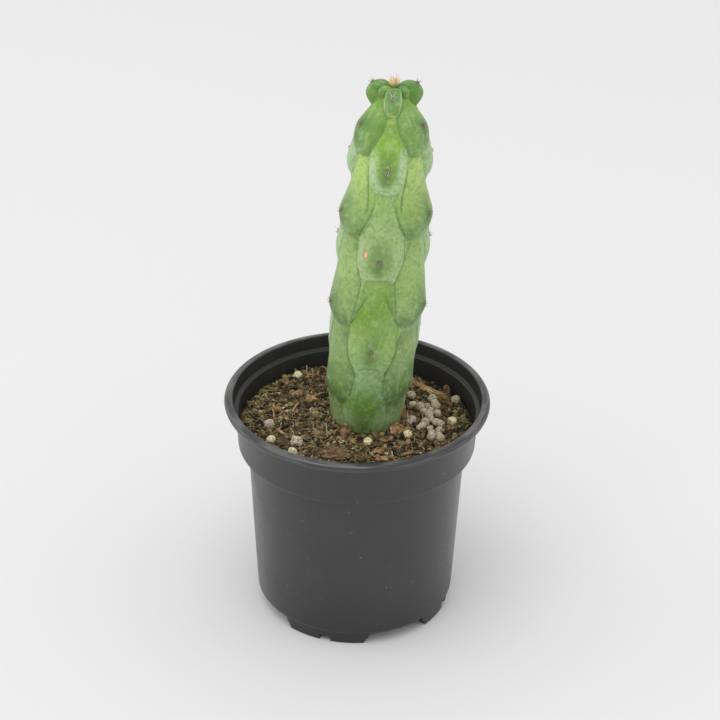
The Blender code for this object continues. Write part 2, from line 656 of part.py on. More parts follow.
def make_soil(material, sockets):
    """The fill of the pot: it follows the inner wall, with a plain hole for the stem."""
    core = Core()
    theta = np.linspace(0.0, 2 * math.pi, SOIL_SIDES, endpoint=False)
    hole = hole_radius(theta, core) + HOLE_CLEARANCE
    sin, cos = np.sin(theta), -np.cos(theta)
    hole_x, hole_y = AXIS_X + hole * sin, AXIS_Y + hole * cos
    corner = math.cos(math.pi / POT_SIDES)
    side = [(radius * corner - GAP, height) for radius, height in inner_profile()]
    side[0] = (side[0][0], FLOOR_TOP + GAP)
    wall_radius = side[-2][0] + SOIL_EDGE_FLARE
    rings = []
    for depth in (ROOT_END - GAP, (ROOT_END + SOIL_LEVEL) / 2):
        rings.append(np.stack([hole_x, hole_y, np.full(SOIL_SIDES, depth)], axis=-1))
    for share in np.linspace(0.0, 1.0, SOIL_TOP_RINGS):
        x = hole_x + (wall_radius * sin - hole_x) * share
        y = hole_y + (wall_radius * cos - hole_y) * share
        rings.append(np.stack([x, y, soil_height(x, y)], axis=-1))
    for radius, height in reversed(side[:-1]):
        rings.append(np.stack([radius * sin, radius * cos, np.full(SOIL_SIDES, height)], axis=-1))
    points = [point for ring in rings for point in ring]
    points += [(AXIS_X, AXIS_Y, ROOT_END - GAP), (0.0, 0.0, FLOOR_TOP + GAP)]
    faces = [tuple(reversed(face)) for face in ring_faces(len(rings), SOIL_SIDES, closed=False)]
    last = (len(rings) - 1) * SOIL_SIDES
    for index in range(SOIL_SIDES):
        beside = (index + 1) % SOIL_SIDES
        faces.append((index, beside, len(points) - 2))
        faces.append((last + beside, last + index, len(points) - 1))
    soil = add_object("soil", mesh_from("soil", points, faces), material)
    cut_with(soil, sockets)


def lump_shape(radius, subdivisions, draw, roughness):
    """A rounded grain: an icosphere squashed a little and knocked about, as a bmesh."""
    shape = bmesh.new()
    bmesh.ops.create_icosphere(shape, subdivisions=subdivisions, radius=radius)
    squash = Vector((draw.uniform(0.94, 1.08), draw.uniform(0.92, 1.05), draw.uniform(0.86, 0.98)))
    for vertex in shape.verts:
        push = 1.0 + draw.uniform(-roughness, roughness)
        vertex.co = Vector([push * value * part for value, part in zip(vertex.co, squash)])
    return shape


def chip_shape(chip, draw):
    """A flat chip with six uneven corners, thinner at its ends, as a bmesh."""
    shape = bmesh.new()
    thickness = CHIP_THICKNESS if chip.width > SLIVER_WIDTH else SLIVER_THICKNESS
    layers = []
    for level in (-0.5, 0.5):
        layer = []
        for along, across in CHIP_OUTLINE:
            thin = 1.0 - 0.9 * abs(along)
            x = chip.length * MM * (along + draw.uniform(-0.03, 0.03))
            y = chip.width * MM * (across + draw.uniform(-0.05, 0.05))
            layer.append(shape.verts.new((x, y, level * thickness * thin)))
        layers.append(layer)
    low, high = layers
    shape.faces.new(list(reversed(low)))
    shape.faces.new(high)
    for index in range(len(CHIP_OUTLINE)):
        beside = (index + 1) % len(CHIP_OUTLINE)
        shape.faces.new((low[index], low[beside], high[beside], high[index]))
    bmesh.ops.triangulate(shape, faces=shape.faces)
    return shape


def grown_copy(shape):
    """The same shape a clearance larger all round, for its socket."""
    grown = shape.copy()
    grown.normal_update()
    reach = sum((vertex.co.length for vertex in grown.verts)) / len(grown.verts)
    centre = sum((vertex.co for vertex in grown.verts), Vector()) / len(grown.verts)
    for vertex in grown.verts:
        outward = (vertex.co - centre).normalized() + 0.8 * vertex.normal
        vertex.co += outward.normalized() * SOCKET_GROWTH * max(1.0, 1.0 * MM / reach)
    return grown


def mesh_of(shape, name):
    mesh = bpy.data.meshes.new(name)
    shape.to_mesh(mesh)
    shape.free()
    return mesh


def lying(x, y, rise, turn=0.0, tilt=0.0, roll=0.0):
    """Places a shape on the soil, its middle this far above the surface."""
    level = float(soil_height(x, y))
    spin = Matrix.Rotation(turn, 4, "Z") @ Matrix.Rotation(tilt, 4, "Y") @ Matrix.Rotation(roll, 4, "X")
    return Matrix.Translation((x, y, level + rise)) @ spin


def add_half_sunk(name, shape, place, material, sockets):
    """One loose piece in its place, and the cutter of the socket that it lies in."""
    grown = grown_copy(shape)
    shape.transform(place)
    grown.transform(place)
    add_cutter(f"socket_{name}", mesh_of(grown, "socket"), sockets)
    add_object(name, mesh_of(shape, name), material)


def make_prill(name, spot, draw, material, collection=None):
    """A round prill that rests on the soil, clear of it all round."""
    radius = PRILL_RADIUS * draw.uniform(1.0, 1.12)
    shape = lump_shape(radius, 2, draw, 0.015)
    shape.transform(lying(spot[0] * MM, spot[1] * MM, radius + PRILL_CLEARANCE, draw.uniform(0.0, 6.0)))
    return add_object(name, mesh_of(shape, name), material, collection)


def make_prills(material):
    """The heap of fertiliser prills, which touch and are one body, and two that lie apart."""
    draw = random.Random(11)
    heap = new_collection("heap")
    first = make_prill("prill_heap", PRILL_HEAP[0], draw, material)
    for index, spot in enumerate(PRILL_HEAP[1:]):
        make_prill(f"heaped_{index}", spot, draw, None, heap)
    join_with(first, heap)
    for index, spot in enumerate(SINGLE_PRILLS):
        make_prill(f"prill_{index + 1}", spot, draw, material)


def make_grains(name, grains, material, sockets):
    draw = random.Random(23)
    for index, grain in enumerate(grains):
        radius = grain.radius * MM
        shape = lump_shape(radius, 1, draw, 0.08)
        turn, tilt = draw.uniform(0.0, 6.0), draw.uniform(-0.4, 0.4)
        place = lying(grain.x * MM, grain.y * MM, GRAIN_RISE * radius, turn, tilt)
        add_half_sunk(f"{name}_{index + 1}", shape, place, material, sockets)


def make_bark(material, sockets):
    draw = random.Random(37)
    for index, chip in enumerate(BARK_CHIPS):
        turns = [math.radians(angle) for angle in (chip.turn, chip.tilt, chip.roll)]
        lift = CHIP_RISE + 0.3 * chip.width * MM * math.sin(turns[2])
        place = lying(chip.x * MM, chip.y * MM, lift, *turns)
        add_half_sunk(f"bark_{index + 1}", chip_shape(chip, draw), place, material, sockets)


def shred_mesh(name, margin):
    """A flat strip along the shred's route, rounded to a six-sided section, tapering to its ends."""
    route = np.array(SHRED_ROUTE) * MM
    count = SHRED_STEPS
    share = np.linspace(0.0, 1.0, count)
    knots = np.linspace(0.0, 1.0, len(route))
    fit_x, fit_y = np.polyfit(knots, route[:, 0], 3), np.polyfit(knots, route[:, 1], 3)
    x, y = np.polyval(fit_x, share), np.polyval(fit_y, share)
    height = soil_height(x, y) + 0.25 * SHRED_THICKNESS
    heading = np.arctan2(np.gradient(y), np.gradient(x))
    points = []
    for index in range(count):
        taper = SHRED_END + (1.0 - SHRED_END) * math.sin(math.pi * min(max(share[index], 0.08), 0.92))
        for corner in range(6):
            angle = math.pi / 3 * corner
            across = (SHRED_WIDTH / 2 * taper + margin) * math.cos(angle)
            lift = (SHRED_THICKNESS / 2 * taper + margin) * math.sin(angle)
            beyond = margin * (-1 if index == 0 else 1 if index == count - 1 else 0)
            points.append((
                x[index] - across * math.sin(heading[index]) + beyond * math.cos(heading[index]),
                y[index] + across * math.cos(heading[index]) + beyond * math.sin(heading[index]),
                height[index] + lift,
            ))
    faces = ring_faces(count, 6, closed=False)
    faces += [tuple(reversed(range(6))), tuple(range((count - 1) * 6, count * 6))]
    return facing_out(mesh_from(name, points, faces))


def make_shred(material, sockets):
    """The long shred of coir that lies behind the prills."""
    add_cutter("socket_shred", shred_mesh("socket", SHRED_SOCKET), sockets)
    add_object("coir_shred", shred_mesh("coir_shred", 0.0), material)


def main():
    clear_scene()
    plastic = make_material("pot_plastic", (0.062, 0.062, 0.065), 0.42)
    skin = make_material("cactus_skin", (0.25, 0.42, 0.12), 0.5)
    earth = make_material("potting_soil", (0.06, 0.035, 0.02), 0.95)
    feed = make_material("fertiliser_prill", (0.42, 0.38, 0.29), 0.7)
    white = make_material("perlite_grain", (0.66, 0.62, 0.44), 0.85)
    grey = make_material("pumice_grain", (0.46, 0.4, 0.34), 0.85)
    wood = make_material("bark_chip", (0.28, 0.12, 0.05), 0.85)
    fibre = make_material("coir_fibre", (0.42, 0.27, 0.09), 0.85)
    sockets = new_collection("sockets")
    make_pot(plastic)
    make_stem(skin)
    make_prills(feed)
    make_grains("perlite", PERLITE, white, sockets)
    make_grains("pumice", PUMICE, grey, sockets)
    make_bark(wood, sockets)
    make_shred(fibre, sockets)
    make_soil(earth, sockets)


main()
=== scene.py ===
# Column cactus with breast-shaped lobes in a nursery pot: its looks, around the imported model.
# Points are worked out in millimetres in the model's own frame: +Z up, front at -Y, azimuths
# counted from the front towards +X. makePiece turns them into metres.

import json
import math

import bmesh
import bpy
import numpy as np
from mathutils import Matrix

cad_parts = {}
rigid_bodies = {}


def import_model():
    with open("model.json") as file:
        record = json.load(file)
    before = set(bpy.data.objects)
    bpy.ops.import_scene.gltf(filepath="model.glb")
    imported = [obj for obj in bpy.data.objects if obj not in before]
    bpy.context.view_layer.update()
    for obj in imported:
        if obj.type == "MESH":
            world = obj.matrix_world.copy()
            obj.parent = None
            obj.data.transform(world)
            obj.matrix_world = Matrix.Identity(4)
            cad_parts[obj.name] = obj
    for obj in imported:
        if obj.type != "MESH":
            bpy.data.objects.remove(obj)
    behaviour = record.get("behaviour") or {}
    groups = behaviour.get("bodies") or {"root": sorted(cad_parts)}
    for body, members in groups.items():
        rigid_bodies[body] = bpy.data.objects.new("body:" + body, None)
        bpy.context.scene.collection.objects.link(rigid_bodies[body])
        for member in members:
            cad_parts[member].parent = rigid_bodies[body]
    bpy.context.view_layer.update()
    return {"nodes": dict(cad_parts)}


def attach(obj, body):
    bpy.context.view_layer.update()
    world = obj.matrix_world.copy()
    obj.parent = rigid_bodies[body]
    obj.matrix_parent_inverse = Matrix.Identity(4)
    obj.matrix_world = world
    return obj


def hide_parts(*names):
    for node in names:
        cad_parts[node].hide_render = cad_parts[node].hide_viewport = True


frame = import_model()
print("frame loaded with", len(frame["nodes"]), "nodes")


# Helpers: numbers
def easeBetween(low, high, value):
    # 0 below low, 1 above high, and an S curve between them
    share = np.clip((value - low) / (high - low), 0.0, 1.0)
    return share * share * (3.0 - 2.0 * share)


def bell(distance, width):
    # 1 in the middle, falling off as a bell curve
    return np.exp(-((distance / width) ** 2))


def smoothNoise(points, seed):
    # Random values from -1 to 1 at the corners of unit cells, eased between the eight corners
    base = np.floor(points)
    part = points - base
    part = part * part * (3.0 - 2.0 * part)
    cell = base.astype(np.int64)
    total = np.zeros(points.shape[:-1])
    for corner in range(8):
        step = np.array([corner & 1, (corner >> 1) & 1, (corner >> 2) & 1])
        key = (cell + step).astype(np.uint32)
        code = key[..., 0] * np.uint32(374761393) + key[..., 1] * np.uint32(668265263)
        code = code + key[..., 2] * np.uint32(2246822519) + np.uint32(seed * 977 + 13)
        code = (code ^ (code >> np.uint32(13))) * np.uint32(1274126177)
        code = code ^ (code >> np.uint32(16))
        weight = np.prod(np.where(step == 1, part, 1.0 - part), axis=-1)
        total += (code.astype(float) / 2147483647.5 - 1.0) * weight
    return total


def roughNoise(points, size, seed, octaves=3):
    # Sum of smooth noises, each half as large and half as strong as the one before
    total = np.zeros(points.shape[:-1])
    for octave in range(octaves):
        total += smoothNoise(points * (2.0**octave / size), seed + octave) * 0.5**octave
    return total


def onCircle(azimuth, radius):
    # X and Y at a radius from the axis, with the azimuth counted from the front
    return radius * np.sin(azimuth), -radius * np.cos(azimuth)


def roundAngles(sides):
    # Equal steps round the full circle
    return 2 * math.pi * np.arange(sides) / sides


def turnFrom(azimuth, theta):
    # Signed angle from an azimuth, within half a circle either way
    return (theta - azimuth + math.pi) % (2 * math.pi) - math.pi


def spinMatrices(turn, tilt, roll):
    # Turn about Z after tilt about Y after roll about X, for whole arrays of angles
    cz, sz, cy, sy, cx, sx = (f(a) for a in (turn, tilt, roll) for f in (np.cos, np.sin))
    rows = [
        [cz * cy, cz * sy * sx - sz * cx, cz * sy * cx + sz * sx],
        [sz * cy, sz * sy * sx + cz * cx, sz * sy * cx - cz * sx],
        [-sy, cy * sx, cy * cx],
    ]
    return np.stack([np.stack(np.broadcast_arrays(*row), -1) for row in rows], -2)


def unit(vectors):
    # Vectors divided by their own length
    return vectors / np.maximum(np.linalg.norm(vectors, axis=-1, keepdims=True), 1e-9)


# Helpers: meshes
def gridFaces(rows, columns, start=0, wrap=True):
    # Quads between neighbouring rows; they face out where rows go up and columns go round
    row = np.arange(rows - 1)[:, None] * columns + start
    here = np.arange(columns if wrap else columns - 1)[None, :]
    beside = (here + 1) % columns
    quads = [row + here, row + beside, row + columns + beside, row + columns + here]
    return np.stack(quads, -1).reshape(-1, 4)


def fanFaces(ringStart, columns, tip, flip=False):
    # Triangles from a closed ring of points to one tip
    here = np.arange(columns)
    fan = np.stack([ringStart + here, ringStart + (here + 1) % columns, np.full(columns, tip)], -1)
    return fan[:, ::-1] if flip else fan


def barrelFaces(count, rows, sides):
    # Quads round each of a number of barrels, and a cap at both ends of each
    step = (np.arange(count) * rows * sides)[:, None, None]
    quads = gridFaces(rows, sides)[None, :, ::-1] + step
    first = np.arange(sides)[None, None, :] + step
    last = first[:, :, ::-1] + (rows - 1) * sides
    return [quads.reshape(-1, 4), first.reshape(-1, sides), last.reshape(-1, sides)]


def repeatFaces(faces, count, size):
    # The faces of one body of so many points, for each of a number of bodies
    step = (np.arange(count) * size)[:, None, None]
    return (faces[None] + step).reshape(-1, faces.shape[1])


def makePiece(name, points, faceLists, material, masks=None, nodes=(), sharp=None):
    # One mesh object at the origin from points in millimetres; it rides on the one body
    mesh = bpy.data.meshes.new(name)
    corners = np.concatenate([faces.ravel() for faces in faceLists])
    sizes = np.concatenate([np.full(len(faces), faces.shape[1]) for faces in faceLists])
    mesh.vertices.add(len(points))
    mesh.vertices.foreach_set("co", (np.asarray(points) * 0.001).astype(np.float32).ravel())
    mesh.loops.add(len(corners))
    mesh.loops.foreach_set("vertex_index", corners.astype(np.int32))
    mesh.polygons.add(len(sizes))
    mesh.polygons.foreach_set("loop_start", (np.cumsum(sizes) - sizes).astype(np.int32))
    mesh.update(calc_edges=True)
    mesh.shade_smooth()
    if sharp:
        mesh.set_sharp_from_angle(angle=math.radians(sharp))
    for label, values in (masks or {}).items():
        kind = "FLOAT_VECTOR" if np.ndim(values) == 2 else "FLOAT"
        layer = mesh.attributes.new(label, kind, "POINT")
        field = "vector" if kind == "FLOAT_VECTOR" else "value"
        layer.data.foreach_set(field, np.asarray(values, np.float32).ravel())
    mesh.materials.append(material)
    piece = bpy.data.objects.new(name, mesh)
    bpy.context.scene.collection.objects.link(piece)
    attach(piece, "root")
    if nodes:
        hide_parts(*nodes)
    print(name, "has", int((sizes - 2).sum()), "triangles")
    return piece


def ballShape(subdivisions):
    # Points and triangles of an icosphere of radius 1
    shape = bmesh.new()
    bmesh.ops.create_icosphere(shape, subdivisions=subdivisions, radius=1.0)
    points = np.array([vertex.co[:] for vertex in shape.verts])
    faces = np.array([[vertex.index for vertex in face.verts] for face in shape.faces])
    shape.free()
    return points, faces


def setDown(bodies, spins, spots, heights):
    # Each body's points turned by its own matrix, then moved to its spot and height
    places = np.concatenate([spots, heights[:, None]], axis=1)
    points = np.einsum("nij,nkj->nki", spins, bodies) + places[:, None, :]
    return points.reshape(-1, 3)


def tubesAlong(paths, radii, sides, flat=1.0):
    # Round threads: paths (n, k, 3) with radii (n, k); flat presses each section by that factor
    count, steps = paths.shape[:2]
    heading = unit(np.gradient(paths, axis=1))
    across = unit(np.cross(heading, np.array([0.05, 0.03, 1.0])))
    over = np.cross(across, heading)
    angle = roundAngles(sides)[None, None, :, None]
    ring = np.cos(angle) * across[:, :, None, :] + flat * np.sin(angle) * over[:, :, None, :]
    points = paths[:, :, None, :] + ring * radii[:, :, None, None]
    return points.reshape(-1, 3), barrelFaces(count, steps, sides)


# Helpers: materials
def paint(*screen):
    # A screen colour from 0 to 255 as linear red, green, blue and alpha
    values = [part / 255.0 for part in screen]
    return tuple(v / 12.92 if v <= 0.04045 else ((v + 0.055) / 1.055) ** 2.4 for v in values) + (1.0,)


def put(tree, kind, sockets=None, **settings):
    # A node with its settings; each socket gets a number, a colour or a link
    made = tree.nodes.new(kind)
    for label, value in settings.items():
        setattr(made, label, value)
    for key, value in (sockets or {}).items():
        if isinstance(value, bpy.types.NodeSocket):
            tree.links.new(value, made.inputs[key])
        else:
            made.inputs[key].default_value = value
    return made


def blend(tree, factor, first, second):
    # The first colour where the factor is 0 and the second where it is 1
    made = put(tree, "ShaderNodeMix", {0: factor, 6: first, 7: second}, data_type="RGBA")
    return made.outputs[2]


def figure(tree, operation, first, second, clamp=False):
    # One step of arithmetic on two values
    made = put(tree, "ShaderNodeMath", {0: first, 1: second}, operation=operation, use_clamp=clamp)
    return made.outputs[0]


def times(tree, first, second, clamp=False):
    # The product of two values
    return figure(tree, "MULTIPLY", first, second, clamp)


def tinge(tree, colour, where, strength, screen):
    # A screen colour laid over another by a mask times a strength
    return blend(tree, times(tree, where, strength), colour, paint(*screen))


def rescale(tree, value, low, high, newLow=0.0, newHigh=1.0):
    # The range from low to high becomes the range from newLow to newHigh
    ends = {"Value": value, "From Min": low, "From Max": high, "To Min": newLow, "To Max": newHigh}
    return put(tree, "ShaderNodeMapRange", ends).outputs["Result"]


def ramp(tree, factor, stops):
    # Screen colours at places from 0 to 1, given as place, red, green and blue
    made = put(tree, "ShaderNodeValToRGB", {0: factor})
    elements = made.color_ramp.elements
    while len(elements) < len(stops):
        elements.new(0.5)
    for element, (place, *screen) in zip(elements, stops):
        element.position = place
        element.color = paint(*screen)
    return made.outputs[0]


def noiseOf(tree, vector, scale, detail, roughness=0.5):
    # Cloudy values from 0 to 1
    sockets = {"Vector": vector, "Scale": scale, "Detail": detail, "Roughness": roughness}
    return put(tree, "ShaderNodeTexNoise", sockets).outputs["Fac"]


def bumps(tree, height, distance, strength=1.0, under=None):
    # The normal of a relief whose height 1 stands out by the distance, over another normal
    sockets = {"Height": height, "Distance": distance, "Strength": strength}
    if under is not None:
        sockets["Normal"] = under
    return put(tree, "ShaderNodeBump", sockets).outputs["Normal"]


def newMaterial(name, roughness, specular):
    # A material with its node tree and its shader
    material = bpy.data.materials.new(name)
    material.use_nodes = True
    shader = material.node_tree.nodes["Principled BSDF"]
    shader.inputs["Roughness"].default_value = roughness
    shader.inputs["Specular IOR Level"].default_value = specular
    return material, material.node_tree, shader


def wire(tree, shader, colour, normal=None, rough=None):
    # What changes over the surface goes into the shader
    for label, value in (("Base Color", colour), ("Normal", normal), ("Roughness", rough)):
        if value is not None:
            tree.links.new(value, shader.inputs[label])


def objectPlace(tree):
    # The place on the object, in metres
    return put(tree, "ShaderNodeTexCoord").outputs["Object"]


def moved(tree, vector, **settings):
    # A vector shifted by Location and multiplied by Scale
    return put(tree, "ShaderNodeMapping", {"Vector": vector, **settings}).outputs[0]


def mask(tree, label, output="Fac"):
    # Values that the piece's mesh carries at its points
    return put(tree, "ShaderNodeAttribute", attribute_name=label).outputs[output]


def newGroup(name, inputs, outputs):
    # An empty node group with named sockets, and its entry and exit
    group = bpy.data.node_groups.new(name, "ShaderNodeTree")
    for label, kind, value in inputs:
        socket = group.interface.new_socket(label, in_out="INPUT", socket_type=kind)
        if value is not None:
            socket.default_value = value
    for label, kind in outputs:
        group.interface.new_socket(label, in_out="OUTPUT", socket_type=kind)
    return group, put(group, "NodeGroupInput"), put(group, "NodeGroupOutput")


def makePatchGroup():
    # Soft-edged patches: noise that is 0 below Level and 1 above Level plus Softness
    inputs = [
        ("Vector", "NodeSocketVector", None), ("Size", "NodeSocketFloat", 5.0),
        ("Level", "NodeSocketFloat", 0.5), ("Softness", "NodeSocketFloat", 0.15),
    ]
    group, entry, leave = newGroup("softPatches", inputs, [("Mask", "NodeSocketFloat")])
    scale = figure(group, "DIVIDE", 1000.0, entry.outputs["Size"])
    cloud = noiseOf(group, entry.outputs["Vector"], scale, 3.0)
    top = figure(group, "ADD", entry.outputs["Level"], entry.outputs["Softness"])
    ends = {"Value": cloud, "From Min": entry.outputs["Level"], "From Max": top}
    spread = put(group, "ShaderNodeMapRange", ends, interpolation_type="SMOOTHSTEP")
    group.links.new(spread.outputs["Result"], leave.inputs["Mask"])
    return group


def makeReliefGroup():
    # Small bumps of one size in millimetres, as a normal
    inputs = [
        ("Vector", "NodeSocketVector", None), ("Size", "NodeSocketFloat", 1.0),
        ("Depth", "NodeSocketFloat", 0.1), ("Detail", "NodeSocketFloat", 3.0),
    ]
    group, entry, leave = newGroup("fineRelief", inputs, [("Normal", "NodeSocketVector")])
    scale = figure(group, "DIVIDE", 1000.0, entry.outputs["Size"])
    cloud = noiseOf(group, entry.outputs["Vector"], scale, entry.outputs["Detail"])
    depth = times(group, entry.outputs["Depth"], 0.001)
    group.links.new(bumps(group, cloud, depth), leave.inputs["Normal"])
    return group


patchGroup = makePatchGroup()
reliefGroup = makeReliefGroup()


def placeGroup(tree, group, place, output, **values):
    # One use of a shared group with its own values
    made = put(tree, "ShaderNodeGroup", node_tree=group)
    for label, value in values.items():
        made.inputs[label].default_value = value
    tree.links.new(place, made.inputs["Vector"])
    return made.outputs[output]


def patches(tree, place, size, level, softness):
    # Patches some millimetres wide, fewer with a higher level
    return placeGroup(tree, patchGroup, place, "Mask", Size=size, Level=level, Softness=softness)


def relief(tree, place, size, depth, detail=3.0):
    # Bumps of a size and depth in millimetres
    return placeGroup(tree, reliefGroup, place, "Normal", Size=size, Depth=depth, Detail=detail)


# Studio: camera, light and floor
studio = {
    "cameraPlace": (0.0009, -0.7615, 0.5562),
    "lookDown": 30.135,  # degrees
    "roll": -0.890,
    "lens": 107.6,  # mm on a 36 mm sensor
    "floorColour": (230, 230, 230),
    "skyColour": (255, 255, 255),
    "skyStrength": 0.88,
    "lamps": [  # place, size in metres, power in watts
        ((-0.4, -0.8, 2.0), 1.5, 12.0),
        ((-1.7, 0.2, 0.5), 0.9, 3.0),
        ((1.7, 0.1, 0.5), 0.9, 1.5),
    ],
    "aim": (0.0, 0.0, 0.1),
    "floorHalf": 3.0,
}


def makeStudio():
    # The camera that was fitted to the pot's circles, soft light all round, and a pale floor
    scene = bpy.context.scene
    scene.view_settings.view_transform = "Standard"
    down, roll = math.radians(studio["lookDown"]), math.radians(studio["roll"])
    rightward = np.array([1.0, 0.0, 0.0])
    upward = np.array([0.0, math.sin(down), math.cos(down)])
    forward = np.array([0.0, math.cos(down), -math.sin(down)])
    cameraRight = math.cos(roll) * rightward - math.sin(roll) * upward
    cameraUp = math.sin(roll) * rightward + math.cos(roll) * upward
    place = Matrix.Identity(4)
    for column, axis in enumerate((cameraRight, cameraUp, -forward, studio["cameraPlace"])):
        for row in range(3):
            place[row][column] = axis[row]
    view = bpy.data.cameras.new("camera")
    view.lens = studio["lens"]
    view.sensor_width = 36.0
    view.clip_start = 0.05
    camera = bpy.data.objects.new("camera", view)
    scene.collection.objects.link(camera)
    camera.matrix_world = place
    scene.camera = camera

    world = bpy.data.worlds.new("softRoom")
    scene.world = world
    world.use_nodes = True
    backdrop = world.node_tree.nodes["Background"]
    backdrop.inputs["Color"].default_value = paint(*studio["skyColour"])
    backdrop.inputs["Strength"].default_value = studio["skyStrength"]
    for index, (spot, size, power) in enumerate(studio["lamps"]):
        light = bpy.data.lights.new(f"softbox{index}", "AREA")
        light.size = size
        light.energy = power
        lamp = bpy.data.objects.new(f"softbox{index}", light)
        scene.collection.objects.link(lamp)
        away = Matrix.Translation(spot).translation
        target = Matrix.Translation(studio["aim"]).translation
        lamp.location = away
        lamp.rotation_euler = (target - away).to_track_quat("-Z", "Y").to_euler()

    half = studio["floorHalf"]
    mesh = bpy.data.meshes.new("floor")
    corners = [(-half, -half, 0), (half, -half, 0), (half, half, 0), (-half, half, 0)]
    mesh.from_pydata(corners, [], [(0, 1, 2, 3)])
    material, _, shader = newMaterial("paleFloor", 0.9, 0.1)
    shader.inputs["Base Color"].default_value = paint(*studio["floorColour"])
    mesh.materials.append(material)
    floor = bpy.data.objects.new("floor", mesh)
    scene.collection.objects.link(floor)
    print("studio set")


makeStudio()


# Stem
stem = {
    "axisX": 4.0, "axisY": 2.0, "leanStart": 97.0, "lean": 0.09, "bend": -0.0002,
    "rootEnd": 70.0, "bellyHeight": 128.0, "bellyRadius": 16.6, "baseTaper": 9.0, "taperSpan": 62.0,
    "shoulderHeight": 205.0, "shoulderRadius": 12.2, "crownHeight": 233.4,
    "lobesFade": (80.0, 87.0), "rounding": (0.3, 0.9), "roundingHeights": (222.0, 196.0),
    "sides": 280, "buriedRings": 10, "rings": 330,
    "ribs": ((-4.4, -113.5, 108.0), (-64.5, 59.0, 178.0), (-4.4,), (-113.5, 108.0)),  # azimuths, degrees
    # set of ribs, areole's height and radius, half width, half width and rise of the neck, length
    # of the chin, bend and length of the slope, fullness of the chin, width of the ring
    "whorls": (
        (1, 237.0, 3.2, 2.0, 1.7, 1.2, 5.4, 0.7, 3.0, 0.7, 0.8),
        (2, 232.8, 8.4, 4.5, 1.8, 2.0, 7.6, 0.42, 9.0, 0.62, 0.85),
        (3, 234.8, 9.4, 4.5, 3.7, 3.4, 8.4, 0.38, 8.2, 1.15, 0.85),
        (1, 221.2, 13.9, 9.8, 5.4, 1.5, 12.5, 1.3, 10.4, 0.6, 0.8),
        (0, 205.4, 17.3, 9.0, 2.4, 2.0, 11.5, 1.2, 23.5, 1.0, 0.8),
        (1, 185.6, 19.2, 12.4, 7.0, 0.6, 12.0, 2.7, 24.1, 1.05, 0.75),
        (0, 168.1, 19.4, 10.8, 5.4, 1.4, 12.5, 1.4, 26.8, 1.5, 0.82),
        (1, 145.9, 20.6, 12.0, 5.4, 1.4, 10.6, 1.8, 29.7, 1.1, 0.8),
        (0, 127.4, 18.7, 10.8, 5.8, 1.9, 13.0, 1.4, 31.2, 1.7, 0.8),
        (1, 108.7, 18.5, 11.4, 6.6, 0.3, 9.8, 1.8, 27.7, 0.9, 0.8),
        (0, 93.0, 15.9, 10.0, 5.0, 1.2, 11.0, 1.4, 24.9, 1.0, 0.8),
        (1, 77.0, 13.6, 9.0, 5.8, 0.5, 8.0, 1.4, 22.4, 1.0, 0.8),
    ),
    "glaucous": (0.9, 0.0, 0.25, 0.05),  # grey bloom on the front bud and on the back lobes of each set
    "flare": 0.75, "sway": 0.13,  # share of the slope that widens, and a side lobe's lean forward
    "droop": (0.05, 0.15, 76.0, 157.0),  # least sag, its gain, and the height and span of the gain
    "ringSwell": 0.34, "dish": 0.32, "creaseDepth": 0.32, "creaseWidth": 0.3, "unevenness": 0.16,
    "knob": 0.8,  # how far the areole's surroundings stand out on the older side lobes
    "areoleRise": 0.4, "scar": (170.3, -23.0), "scarDepth": 0.35,  # the healed wound's height and azimuth
    # thin grooves on the front rib: length along the stem and distance from the rib's middle
    "grooves": (
        ((7.0, 10.0), (10.5, 8.4), (15.5, 6.0), (22.0, 3.9)),
        ((19.0, 6.6), (25.0, 6.7), (31.5, 8.0), (37.0, 8.3)),
        ((14.3, 8.6), (19.0, 6.0), (24.7, 3.3)),
        ((14.5, 8.8), (22.3, 7.9), (29.2, 7.1), (36.8, 9.2)),
    ),
    "grooveStarts": (6, 6, 8, 8),  # the whorl whose areole each length is counted from
    "grooveWidth": 0.34,
}


def axisAt(height):
    # Upright at the foot, then a lean that straightens with height
    rise = np.maximum(height - stem["leanStart"], 0.0)
    return stem["axisX"] + stem["lean"] * rise + stem["bend"] * rise * rise


def coreRadius(height):
    # A barrel up to the shoulder, then a dome that closes at the crown
    belly, wide, shoulder = stem["bellyHeight"], stem["bellyRadius"], stem["shoulderHeight"]
    below = wide - stem["baseTaper"] * ((belly - height) / stem["taperSpan"]) ** 2
    barrel = wide - (wide - stem["shoulderRadius"]) * ((height - belly) / (shoulder - belly)) ** 2
    up = np.clip((height - shoulder) / (stem["crownHeight"] - shoulder), 0.0, 1.0)
    dome = stem["shoulderRadius"] * (1.0 - up**1.4) ** 0.6
    return np.where(height < belly, below, np.where(up > 0, dome, barrel))


coreHeight = np.linspace(stem["rootEnd"], stem["crownHeight"], 4000)
coreWide = coreRadius(coreHeight)
coreAlong = np.concatenate([[0.0], np.cumsum(np.hypot(np.diff(coreHeight), np.diff(coreWide)))])
slopeR, slopeZ = np.gradient(coreWide, coreAlong), np.gradient(coreHeight, coreAlong)
slopeSize = np.hypot(slopeR, slopeZ)
coreNormalR, coreNormalZ = slopeZ / slopeSize, -slopeR / slopeSize


def coreAt(along):
    # Radius, height and outward normal of the core at a length along it
    sections = (coreWide, coreHeight, coreNormalR, coreNormalZ)
    return [np.interp(along, coreAlong, section) for section in sections]


